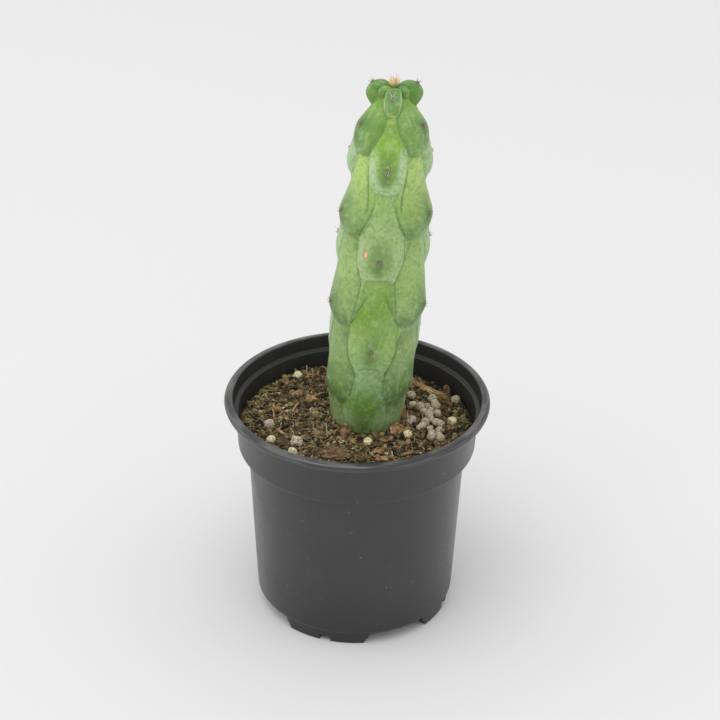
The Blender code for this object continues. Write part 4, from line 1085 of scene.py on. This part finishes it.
# Soil
soil = {
    "level": 83.2, "atStem": 5.0, "heapSpread": 24.0, "mound": (-23.5, 41.0, 1.9, 7.0), "tilt": 0.022,
    "waves": 0.175, "grit": ((5.0, 0.9), (2.1, 0.6), (0.95, 0.4)),  # size and height, coarse to fine
    "sunk": 0.75, "holeFoot": 69.7, "holeOverlap": 0.25, "wallGap": 0.06,
    "sides": 420, "topRings": 100, "crumbs": 6800, "fibres": 1300, "flakes": 620,
    "colours": (
        (0.0, 22, 18, 14), (0.2, 48, 39, 28), (0.36, 86, 72, 50), (0.5, 94, 92, 56),
        (0.64, 136, 116, 82), (0.78, 182, 154, 108), (0.88, 152, 112, 68), (1.0, 222, 206, 168),
    ),
    "mossSpots": (  # x, y, spread
        (-38.0, 29.0, 4.0), (-45.0, 4.0, 5.0), (-43.5, -12.0, 4.0), (38.5, -12.0, 3.5), (42.0, 8.0, 3.5),
        (-31.0, 36.0, 3.0), (-16.0, 1.0, 2.0), (-20.0, -22.0, 3.0), (-1.0, -20.0, 2.5),
    ),
    "mossAnywhere": 0.03, "mossAtSpots": 0.6,
}


def soilLevel(x, y):
    # Heaped round the stem and at one place by the wall, falling to the right and the back
    moundX, moundY, moundRise, moundSpread = soil["mound"]
    fromStem = np.hypot(x - stem["axisX"], y - stem["axisY"])
    level = soil["level"] + soil["atStem"] * bell(fromStem, soil["heapSpread"])
    level = level + moundRise * bell(np.hypot(x - moundX, y - moundY), moundSpread)
    level = level - soil["tilt"] * (x + 0.5 * y)
    return level + soil["waves"] * (np.sin(x / 3.1 + 0.6) * np.cos(y / 3.7) + np.sin((x - 2 * y) / 5.3))


def soilTop(x, y):
    # The level with clods, crumbs and grit on it, each a folded noise
    place = np.stack([x, y, np.zeros_like(x)], -1)
    rise = np.zeros_like(x)
    for row, (size, high) in enumerate(soil["grit"]):
        rise = rise + np.abs(smoothNoise(place / size, 31 + row)) * high
    return soilLevel(x, y) + rise - soil["sunk"]


def holeRadius(theta):
    # Reach of the stem's skin up to the soil, for each azimuth
    along = np.linspace(0.0, 24.0, 49)
    gridAlong, gridTheta = np.meshgrid(along, theta, indexing="ij")
    skin, _ = stemSkin(gridTheta, gridAlong)
    reach = np.hypot(skin[..., 0] - stem["axisX"], skin[..., 1] - stem["axisY"])
    edgeX, edgeY = onCircle(theta, stem["bellyRadius"])
    buried = skin[..., 2] < soilLevel(edgeX + stem["axisX"], edgeY + stem["axisY"]) + 0.6
    return np.where(buried, reach, 0.0).max(axis=0)


holeTheta = np.linspace(0.0, 2 * math.pi, 181)
holeReach = holeRadius(holeTheta)


def clearOfStem(x, y):
    # Distance outward from the stem's skin at the soil
    dx, dy = x - stem["axisX"], y - stem["axisY"]
    azimuth = np.arctan2(dx, -dy) % (2 * math.pi)
    return np.hypot(dx, dy) - np.interp(azimuth, holeTheta, holeReach)


def wallRadius(height):
    # The inside of the pot's wall
    radii, heights = zip(*innerProfile())
    return np.interp(height, heights, radii)


def dampAndDry(tree, place, colour):
    # Damp hollows a few millimetres wide are darker, and dry crests lighter
    colour = tinge(tree, colour, patches(tree, place, 5.0, 0.5, 0.12), 0.6, (30, 24, 18))
    shifted = moved(tree, place, Location=(0.05, 0.02, 0.0))
    return tinge(tree, colour, patches(tree, shifted, 4.0, 0.54, 0.12), 0.4, (186, 158, 112))


def makeSoilMaterial():
    # Coarse noise through the soil's colours, from black humus through coir to tan, with a
    # greenish film in patches
    material, tree, shader = newMaterial("pottingSoil", 0.92, 0.3)
    place = objectPlace(tree)
    tone = rescale(tree, noiseOf(tree, place, 700.0, 6.0, 0.7), 0.3, 0.72)
    colour = ramp(tree, times(tree, tone, 0.85), soil["colours"])
    colour = tinge(tree, colour, patches(tree, place, 8.0, 0.5, 0.15), 0.4, (70, 72, 42))
    wire(tree, shader, dampAndDry(tree, place, colour), relief(tree, place, 0.7, 0.35, 5.0))
    return material


def makeCrumbMaterial(name, lighter):
    # Each crumb's own tone through the soil's colours, shaded in spots, and moss where it grows
    material, tree, shader = newMaterial(name, 0.88, 0.35)
    place = objectPlace(tree)
    colour = ramp(tree, figure(tree, "ADD", mask(tree, "tone"), lighter), soil["colours"])
    shade = patches(tree, place, 0.7, 0.35, 0.35)
    colour = tinge(tree, colour, shade, 0.5, (30, 24, 17))
    moss = blend(tree, shade, paint(158, 154, 82), paint(96, 98, 54))
    colour = blend(tree, mask(tree, "moss"), dampAndDry(tree, place, colour), moss)
    wire(tree, shader, colour, relief(tree, place, 0.45, 0.32, 4.0))
    return material


def levelRing(x, y, height):
    # Points of one ring, all at one height
    return np.stack([x, y, np.full(len(x), height)], -1)


def makeSoilBed():
    # Rings down the stem's hole, over the top, down the wall and across the floor
    sides = soil["sides"]
    theta = roundAngles(sides)
    outX, outY = onCircle(theta, 1.0)
    hole = np.interp(theta, holeTheta, holeReach) - soil["holeOverlap"]
    holeX, holeY = stem["axisX"] + hole * outX, stem["axisY"] + hole * outY
    rings = [levelRing(holeX, holeY, height) for height in (soil["holeFoot"], 75.0, 80.0)]
    edge = wallRadius(83.0) - soil["wallGap"]
    for share in np.linspace(0.0, 1.0, soil["topRings"]):
        x, y = holeX + (edge * outX - holeX) * share, holeY + (edge * outY - holeY) * share
        rings.append(np.stack([x, y, soilTop(x, y)], -1))
    heights = [height for _, height in innerProfile()]
    for height in (80.0, 78.6, *reversed(heights[1:6])):
        radius = wallRadius(height) - soil["wallGap"]
        rings.append(levelRing(radius * outX, radius * outY, height))
    base, floorRadius = heights[0] + 0.3, wallRadius(heights[0]) - 0.5
    rings.append(levelRing(floorRadius * outX, floorRadius * outY, base))
    middles = [[stem["axisX"], stem["axisY"], soil["holeFoot"]], [0.0, 0.0, base]]
    count = len(rings) * sides
    faces = [gridFaces(len(rings), sides)[:, ::-1], fanFaces(0, sides, count),
             fanFaces(count - sides, sides, count + 1, flip=True)]
    points = np.concatenate([*rings, middles])
    makePiece("soilBed", points, faces, makeSoilMaterial(), None, ["soil"])


def randomSpots(draw, count, margin):
    # Even over the soil between the stem and the wall
    spots = draw.uniform(-48.0, 48.0, (count * 3, 2))
    radius = np.hypot(spots[:, 0], spots[:, 1])
    fits = (radius < wallRadius(84.0) - margin) & (clearOfStem(spots[:, 0], spots[:, 1]) > 0.5 * margin)
    return spots[fits][:count]


def mossiness(draw, spots):
    # 1 or 0: likely near the mossy spots, rare elsewhere
    near = np.zeros(len(spots))
    for x, y, spread in soil["mossSpots"]:
        near = np.maximum(near, bell(np.hypot(spots[:, 0] - x, spots[:, 1] - y), spread))
    chance = soil["mossAnywhere"] + soil["mossAtSpots"] * near
    return (draw.uniform(0.0, 1.0, len(spots)) < chance).astype(float)


def makeCrumbs():
    # Small balls, each stretched, knocked out of shape, turned and laid on the soil
    draw = np.random.default_rng(17)
    shape, faces = ballShape(1)
    spots = randomSpots(draw, soil["crumbs"], 0.8)
    count = len(spots)
    size = np.clip(draw.lognormal(-0.62, 0.42, count), 0.22, 1.45)
    stretch = [draw.uniform(low, high, count) for low, high in ((0.8, 1.5), (0.6, 1.0), (0.4, 0.9))]
    turns = [draw.uniform(low, high, count) for low, high in ((0, 6.3), (-0.6, 0.6), (-0.6, 0.6))]
    knocked = shape[None] * (1.0 + draw.uniform(-0.28, 0.28, (count, len(shape), 1)))
    bodies = knocked * (size[:, None] * np.stack(stretch, -1))[:, None, :]
    points = setDown(bodies, spinMatrices(*turns), spots, soilTop(spots[:, 0], spots[:, 1]) + 0.3 * size)
    tone = draw.beta(0.75, 1.15, count)
    masks = {"tone": np.repeat(tone, len(shape)), "moss": np.repeat(mossiness(draw, spots), len(shape))}
    makePiece("soilCrumbs", points, [repeatFaces(faces, count, len(shape))],
              makeCrumbMaterial("coirCrumb", 0.0), masks, sharp=50.0)


def makeFibres():
    # Threads of coir that lie over the crumbs, each an arc that lifts a little off the soil
    draw = np.random.default_rng(29)
    spots = randomSpots(draw, soil["fibres"], 1.5)
    count, steps = len(spots), 7
    length = np.clip(draw.lognormal(1.25, 0.45, count), 1.2, 11.0)
    heading, curl = draw.uniform(0, 6.3, count), draw.normal(0.0, 0.9, count)
    share = np.linspace(-0.5, 0.5, steps)[None, :]
    angle = heading[:, None] + curl[:, None] * share
    x = spots[:, :1] + length[:, None] * share * np.cos(angle)
    y = spots[:, 1:] + length[:, None] * share * np.sin(angle)
    reach = np.hypot(x, y)
    limit = wallRadius(84.0) - 0.5
    x, y = x * np.minimum(1.0, limit / reach), y * np.minimum(1.0, limit / reach)
    lift = draw.uniform(0.0, 1.0, (count, 1)) ** 3 * 2.2
    rise = lift * (share + 0.5) + 0.35
    z = soilTop(x, y) * 0.35 + soilTop(spots[:, :1], spots[:, 1:]) * 0.65 + rise
    keep = clearOfStem(x, y).min(axis=1) > 0.1
    paths = np.stack([x, y, z], -1)[keep]
    radius = draw.uniform(0.09, 0.24, (len(paths), 1)) * (1.0 - 1.2 * np.abs(share) ** 2)
    points, faces = tubesAlong(paths, radius, 4, 0.6)
    tone = np.repeat(np.clip(draw.normal(0.66, 0.26, len(paths)), 0.1, 1.0), steps * 4)
    masks = {"tone": tone, "moss": np.zeros(len(tone))}
    makePiece("soilFibres", points, faces, makeCrumbMaterial("coirFibre", 0.06), masks)


def slabShape(lengthSteps, widthSteps):
    # A flat pebble-like slab, long in X, as points from -1 to 1: a boxy section swept along X and
    # tapered at both ends
    u = np.linspace(-1.0, 1.0, lengthSteps)
    angle = roundAngles(widthSteps)
    taper = 1.0 - np.abs(u) ** 4.0 * 0.86
    y = taper[:, None] * np.sign(np.cos(angle)) * np.abs(np.cos(angle)) ** 0.5
    z = taper[:, None] * np.sign(np.sin(angle)) * np.abs(np.sin(angle)) ** 0.8
    return np.stack([np.broadcast_to(u[:, None], y.shape), y, z], -1).reshape(-1, 3)


def makeFlakes():
    # Short flat shreds of coir and bark, bent and torn at their ends
    draw = np.random.default_rng(41)
    rows, sides = 6, 6
    shape = slabShape(rows, sides)
    spots = randomSpots(draw, soil["flakes"], 2.0)
    spots = spots[clearOfStem(spots[:, 0], spots[:, 1]) > 1.6]
    count = len(spots)
    half = np.clip(draw.lognormal(0.35, 0.4, count), 0.7, 3.2)
    sizes = np.stack([half, half * draw.uniform(0.16, 0.5, count), draw.uniform(0.12, 0.3, count)], -1)
    turns = draw.uniform(0, 6.3, count), draw.normal(0, 0.22, count), draw.normal(0, 0.35, count)
    bent = shape[None] * (1.0 + draw.uniform(-0.15, 0.15, (count, len(shape), 1))) * sizes[:, None, :]
    bent[..., 2] += draw.normal(0.0, 0.1, (count, 1)) * bent[..., 0] ** 2 / half[:, None]
    points = setDown(bent, spinMatrices(*turns), spots, soilTop(spots[:, 0], spots[:, 1]) + 0.55)
    tone = np.repeat(np.clip(draw.normal(0.6, 0.24, count), 0.1, 1.0), rows * sides)
    masks = {"tone": tone, "moss": np.zeros(len(tone))}
    makePiece("soilFlakes", points, barrelFaces(count, rows, sides), makeCrumbMaterial("coirFlake", 0.0),
              masks, sharp=45.0)


makeSoilBed()
makeCrumbs()
makeFibres()
makeFlakes()


# Prills, perlite and pumice
grains = {
    "prills": (  # x, y, radius; the last two lie apart
        (31.8, 18.0, 2.1), (32.6, 14.6, 1.7), (33.1, 11.4, 2.0), (29.5, 10.6, 1.5), (26.6, 9.1, 1.95),
        (28.0, 6.0, 1.6), (30.8, 7.4, 1.65), (30.2, 4.0, 1.85), (33.7, 6.2, 1.7), (30.9, 0.8, 1.7),
        (32.9, -1.7, 1.85), (34.9, -2.4, 1.7), (28.4, -2.4, 1.8), (27.1, -5.9, 1.7), (25.6, -6.7, 1.2),
        (30.3, -6.9, 1.5), (34.0, -7.2, 1.6), (31.0, -10.3, 1.7), (33.9, -10.6, 1.5), (30.8, -13.0, 1.85),
        (34.5, -13.1, 1.85), (22.9, 19.0, 1.95), (41.7, 18.4, 1.95),
    ),
    "prillClearance": 0.3,
    "perlite": (
        (39.6, 2.6, 2.0), (23.4, 13.4, 1.6), (20.9, -11.0, 1.7), (4.6, -18.9, 1.9), (-26.0, 35.6, 1.9),
        (-35.0, -15.9, 2.0), (-25.9, -24.6, 1.9),
    ),
    "pumice": ((22.6, -0.8, 2.1), (-36.5, -4.0, 2.1), (-24.4, -18.0, 2.4)),
    "gravel": (
        (41.5, 11.6, 1.0), (40.5, -8.2, 1.4), (-31.6, 0.4, 1.3), (-29.2, 0.0, 1.2), (-16.6, -16.3, 0.9),
        (-17.1, 1.7, 1.7), (-45.2, 11.2, 0.8), (38.9, 12.8, 0.7), (43.6, 6.8, 0.6), (-40.6, -9.4, 0.7),
        (-11.5, -12.8, 1.1), (26.4, -16.4, 0.8), (-21.6, 29.3, 0.8), (18.6, 30.4, 0.9),
    ),
    "rise": 0.35,  # share of the radius by which a grain's middle stands above the soil
}


def makeGrainMaterial(name, pale, dark, stain, size):
    # Pale grain with dark pits of one size in millimetres, partly its own colour and partly painted shade,
    # and wider stains
    material, tree, shader = newMaterial(name, 0.85, 0.35)
    place = objectPlace(tree)
    colour = blend(tree, patches(tree, place, size, 0.46, 0.2), paint(*pale), paint(*dark))
    colour = tinge(tree, colour, patches(tree, place, 3.5, 0.5, 0.2), 0.5, stain)
    wire(tree, shader, colour, relief(tree, place, size, 0.35, 4.0))
    return material


def lumps(name, table, lift, roughness, size, seed, material, nodes):
    # Balls squashed a little and pushed in and out by noise of a small and a large size
    draw = np.random.default_rng(seed)
    shape, faces = ballShape(4)
    spots, radii, count = table[:, :2], table[:, 2], len(table)
    squash = [draw.uniform(low, high, count) for low, high in ((0.95, 1.06), (0.93, 1.04), (0.9, 0.99))]
    around = shape[None] * radii[:, None, None] + np.arange(count)[:, None, None] * 40.0
    push = 1.0 + roughness * roughNoise(around, size, seed, 3)
    push = push + 1.4 * roughness * smoothNoise(around / 2.2, seed + 9)
    spins = spinMatrices(draw.uniform(0, 6.3, count), draw.uniform(-0.4, 0.4, count), np.zeros(count))
    bodies = shape[None] * push[..., None] * np.stack(squash, -1)[:, None, :] * radii[:, None, None]
    points = setDown(bodies, spins, spots, soilLevel(spots[:, 0], spots[:, 1]) + lift)
    faces = [repeatFaces(faces, count, len(shape))]
    makePiece(name, points, faces, material, None, nodes)


def makeGrains():
    # The prills stand on the soil, and the other grains are sunk in it
    coat = makeGrainMaterial("prillCoat", (196, 186, 158), (132, 122, 100), (168, 150, 118), 0.8)
    table = np.array(grains["prills"])
    lumps("prills", table, table[:, 2] + grains["prillClearance"], 0.05, 0.9, 7, coat,
          ["prill_heap", "prill_1", "prill_2"])
    cream = makeGrainMaterial("perliteCream", (232, 224, 186), (176, 164, 112), (198, 190, 116), 0.9)
    warm = makeGrainMaterial("pumiceWarm", (206, 192, 172), (150, 132, 114), (196, 160, 140), 0.9)
    mossy = makeGrainMaterial("gravelMossy", (160, 148, 104), (92, 82, 52), (124, 118, 66), 0.8)
    for kind, material, slot, seed, solids in (
        ("perlite", cream, "perlite", 51, 7), ("pumice", warm, "pumice", 61, 3),
        ("gravel", mossy, "potting_soil", 71, 0),
    ):
        table = np.array(grains[kind])
        lumps(kind, table, grains["rise"] * table[:, 2], 0.15, 1.3, seed, material,
              [f"{kind}_{index + 1}" for index in range(solids)])


makeGrains()


# Bark and the long shred
wood = {
    "chips": (  # x, y, length, width, turn, tilt, roll, shade from dark to golden
        (-8.2, -26.6, 13.4, 8.0, -4.0, 4.0, 8.0, 0.2), (9.3, -23.3, 6.4, 5.4, 70.0, 10.0, 0.0, 0.75),
        (10.4, -29.0, 5.4, 2.8, 12.0, 4.0, 0.0, 0.85), (14.2, -19.6, 8.8, 2.2, -27.0, 4.0, 0.0, 0.6),
        (16.4, -10.4, 9.0, 4.2, 58.0, 6.0, 42.0, 0.8), (-24.2, 21.6, 5.6, 3.8, 30.0, 10.0, 0.0, 0.9),
        (-34.0, 8.2, 6.0, 4.0, 80.0, 8.0, 0.0, 0.6), (-30.6, -10.8, 8.6, 1.8, -53.0, 4.0, 0.0, 0.95),
        (-19.0, 15.2, 6.0, 4.4, 35.0, 10.0, 0.0, 0.8),
    ),
    "scraps": (  # the same for small loose pieces, some of them leaning or upright
        (19.3, 0.2, 6.5, 1.8, 95.0, -72.0, 0.0, 0.55), (-34.6, 2.4, 8.5, 1.0, 92.0, -42.0, 0.0, 0.9),
        (38.0, 25.8, 5.0, 2.8, 124.0, -65.0, 0.0, 0.4), (-29.6, -18.6, 5.5, 3.6, 20.0, 4.0, 10.0, 0.0),
        (-4.8, -14.4, 6.5, 3.4, 80.0, -50.0, 10.0, 0.45), (11.8, -16.4, 6.0, 4.4, 40.0, 12.0, -18.0, 0.3),
        (7.8, -20.4, 4.2, 3.0, 130.0, 10.0, 10.0, 0.05), (-25.6, 9.2, 5.6, 0.9, 62.0, -16.0, 0.0, 0.95),
        (-16.4, 18.6, 6.0, 1.2, 28.0, -8.0, 0.0, 0.8), (-12.6, 11.2, 5.0, 2.4, 118.0, 14.0, 10.0, 0.2),
        (22.2, 30.6, 5.6, 1.6, 152.0, -20.0, 0.0, 0.45), (20.6, -24.8, 6.4, 1.6, 36.0, 5.0, 0.0, 0.5),
    ),
    "thickness": 1.8, "sliver": 1.1, "rise": 0.5,
    "route": ((23.0, 37.0), (28.0, 31.6), (33.4, 26.0), (37.4, 17.8)),
    "shredWidth": 3.0, "shredThick": 1.3, "strands": 26,
    "dark": ((0.3, 44, 34, 24), (0.5, 98, 80, 58), (0.7, 160, 134, 100)),
    "gold": ((0.3, 92, 68, 42), (0.5, 174, 130, 86), (0.7, 226, 194, 146)),
    "coir": ((0.34, 84, 60, 32), (0.48, 186, 146, 88), (0.62, 242, 220, 168)),
}


def makeBarkMaterial():
    # Fibres along each chip, from dark to golden by the chip's tone, with dirt in spots
    material, tree, shader = newMaterial("barkChip", 0.85, 0.35)
    fibres = noiseOf(tree, mask(tree, "grain", "Vector"), 1.0, 5.0, 0.65)
    dark, gold = (ramp(tree, fibres, wood[shade]) for shade in ("dark", "gold"))
    colour = blend(tree, mask(tree, "tone"), dark, gold)
    colour = tinge(tree, colour, patches(tree, objectPlace(tree), 1.6, 0.48, 0.12), 0.7, (40, 29, 20))
    wire(tree, shader, colour, bumps(tree, fibres, 0.0004, 0.8))
    return material


def makeBark(name, table, rows, sides, material, nodes):
    # Slabs with ragged ends and long furrows: a grid round a flat section, pushed about by noise
    table = np.array(table)
    count = len(table)
    spots, length, width = table[:, :2], table[:, 2], table[:, 3]
    tilt, roll = np.radians(table[:, 5]), np.radians(table[:, 6])
    thick = np.where(width > 3.0, wood["thickness"], wood["sliver"])
    body = slabShape(rows, sides)[None] * np.stack([length / 2, width / 2, thick / 2], -1)[:, None, :]
    far = np.arange(count)[:, None, None] * 50.0
    ragged = roughNoise(body * np.array([0.5, 1.6, 1.0]) + far, 2.6, 71, 4)
    body[..., 1] *= 1.0 + 0.30 * ragged
    body[..., 0] *= 1.0 + 0.16 * roughNoise(body * np.array([0.1, 1.5, 0.5]) + far, 1.6, 75, 2)
    furrows = roughNoise(body * np.array([0.25, 2.2, 0.2]) + far, 1.5, 81, 3)
    body[..., 2] += 0.28 * furrows * np.sign(body[..., 2]) * (thick / 2)[:, None] + 0.10 * ragged
    lift = wood["rise"] + 0.3 * width * np.sin(roll)
    lift = lift - 0.38 * length * np.minimum(np.sin(tilt), 0.0)
    heights = soilLevel(spots[:, 0], spots[:, 1]) + lift + 0.25
    points = setDown(body, spinMatrices(np.radians(table[:, 4]), tilt, roll), spots, heights)
    grain = body * np.array([0.35, 2.4, 1.6]) + far
    masks = {"tone": np.repeat(table[:, 7], rows * sides), "grain": grain.reshape(-1, 3)}
    makePiece(name, points, barrelFaces(count, rows, sides), material, masks, nodes, sharp=60.0)


def makeShredMaterial():
    # Pale and dark lines along the strands, with dirt in spots
    material, tree, shader = newMaterial("coirShred", 0.8, 0.35)
    lines = noiseOf(tree, mask(tree, "grain", "Vector"), 1.0, 4.0)
    dirt = patches(tree, objectPlace(tree), 2.4, 0.5, 0.2)
    colour = tinge(tree, ramp(tree, lines, wood["coir"]), dirt, 0.4, (70, 62, 30))
    wire(tree, shader, colour, bumps(tree, lines, 0.0003, 0.8))
    return material


def makeShred():
    # A bundle of flat strands side by side along one curved route, splaying at both ends
    draw = np.random.default_rng(47)
    route = np.array(wood["route"])
    count, steps, sides = wood["strands"], 30, 6
    knots, share = np.linspace(0.0, 1.0, len(route)), np.linspace(0.0, 1.0, steps)
    x, y = (np.polyval(np.polyfit(knots, route[:, axis], 3), share) for axis in (0, 1))
    heading = np.arctan2(np.gradient(y), np.gradient(x))
    taper = 0.35 + 0.65 * np.sin(math.pi * np.clip(share, 0.08, 0.92))
    thin = 0.35 + 0.65 * np.sin(math.pi * np.clip(share, 0.05, 0.95))
    place = np.linspace(-1.0, 1.0, count)[:, None]
    splay = 1.0 + 2.4 * easeBetween(0.5, 1.0, share)[None] * draw.uniform(0.0, 1.0, (count, 1))
    offset = place * wood["shredWidth"] / 2 * taper[None] * splay + draw.normal(0, 0.12, (count, 1))
    wave = 0.15 * np.sin(share[None] * draw.uniform(6, 14, (count, 1)) + draw.uniform(0, 6, (count, 1)))
    pathX = x[None] - (offset + wave) * np.sin(heading)[None]
    pathY = y[None] + (offset + wave) * np.cos(heading)[None]
    arch = wood["shredThick"] * 0.5 * (1.0 - place**2)
    loose = easeBetween(0.5, 1.0, share) * 2.6 + easeBetween(0.3, 0.0, share) * 1.6
    loose = loose[None] * draw.uniform(0.0, 1.0, (count, 1)) ** 2
    pathZ = soilLevel(pathX, pathY) + 0.35 + arch + loose + draw.normal(0, 0.14, (count, 1))
    paths = np.stack([pathX, pathY, pathZ], -1)
    radii = draw.uniform(0.12, 0.26, (count, 1)) * thin[None]
    points, faces = tubesAlong(paths, radii, sides, 0.7)
    strand = np.repeat(np.arange(count) * 3.7, steps * sides)
    along = np.tile(np.repeat(share * 2.4, sides), count)
    grain = np.stack([along, strand, np.tile(np.arange(sides) * 0.7, count * steps)], -1)
    makePiece("coirShredBundle", points, faces, makeShredMaterial(), {"grain": grain}, ["coir_shred"])


barkMaterial = makeBarkMaterial()
makeBark("barkChips", wood["chips"], 40, 28, barkMaterial, [f"bark_{index + 1}" for index in range(9)])
makeBark("barkScraps", wood["scraps"], 26, 18, barkMaterial, ())
makeShred()
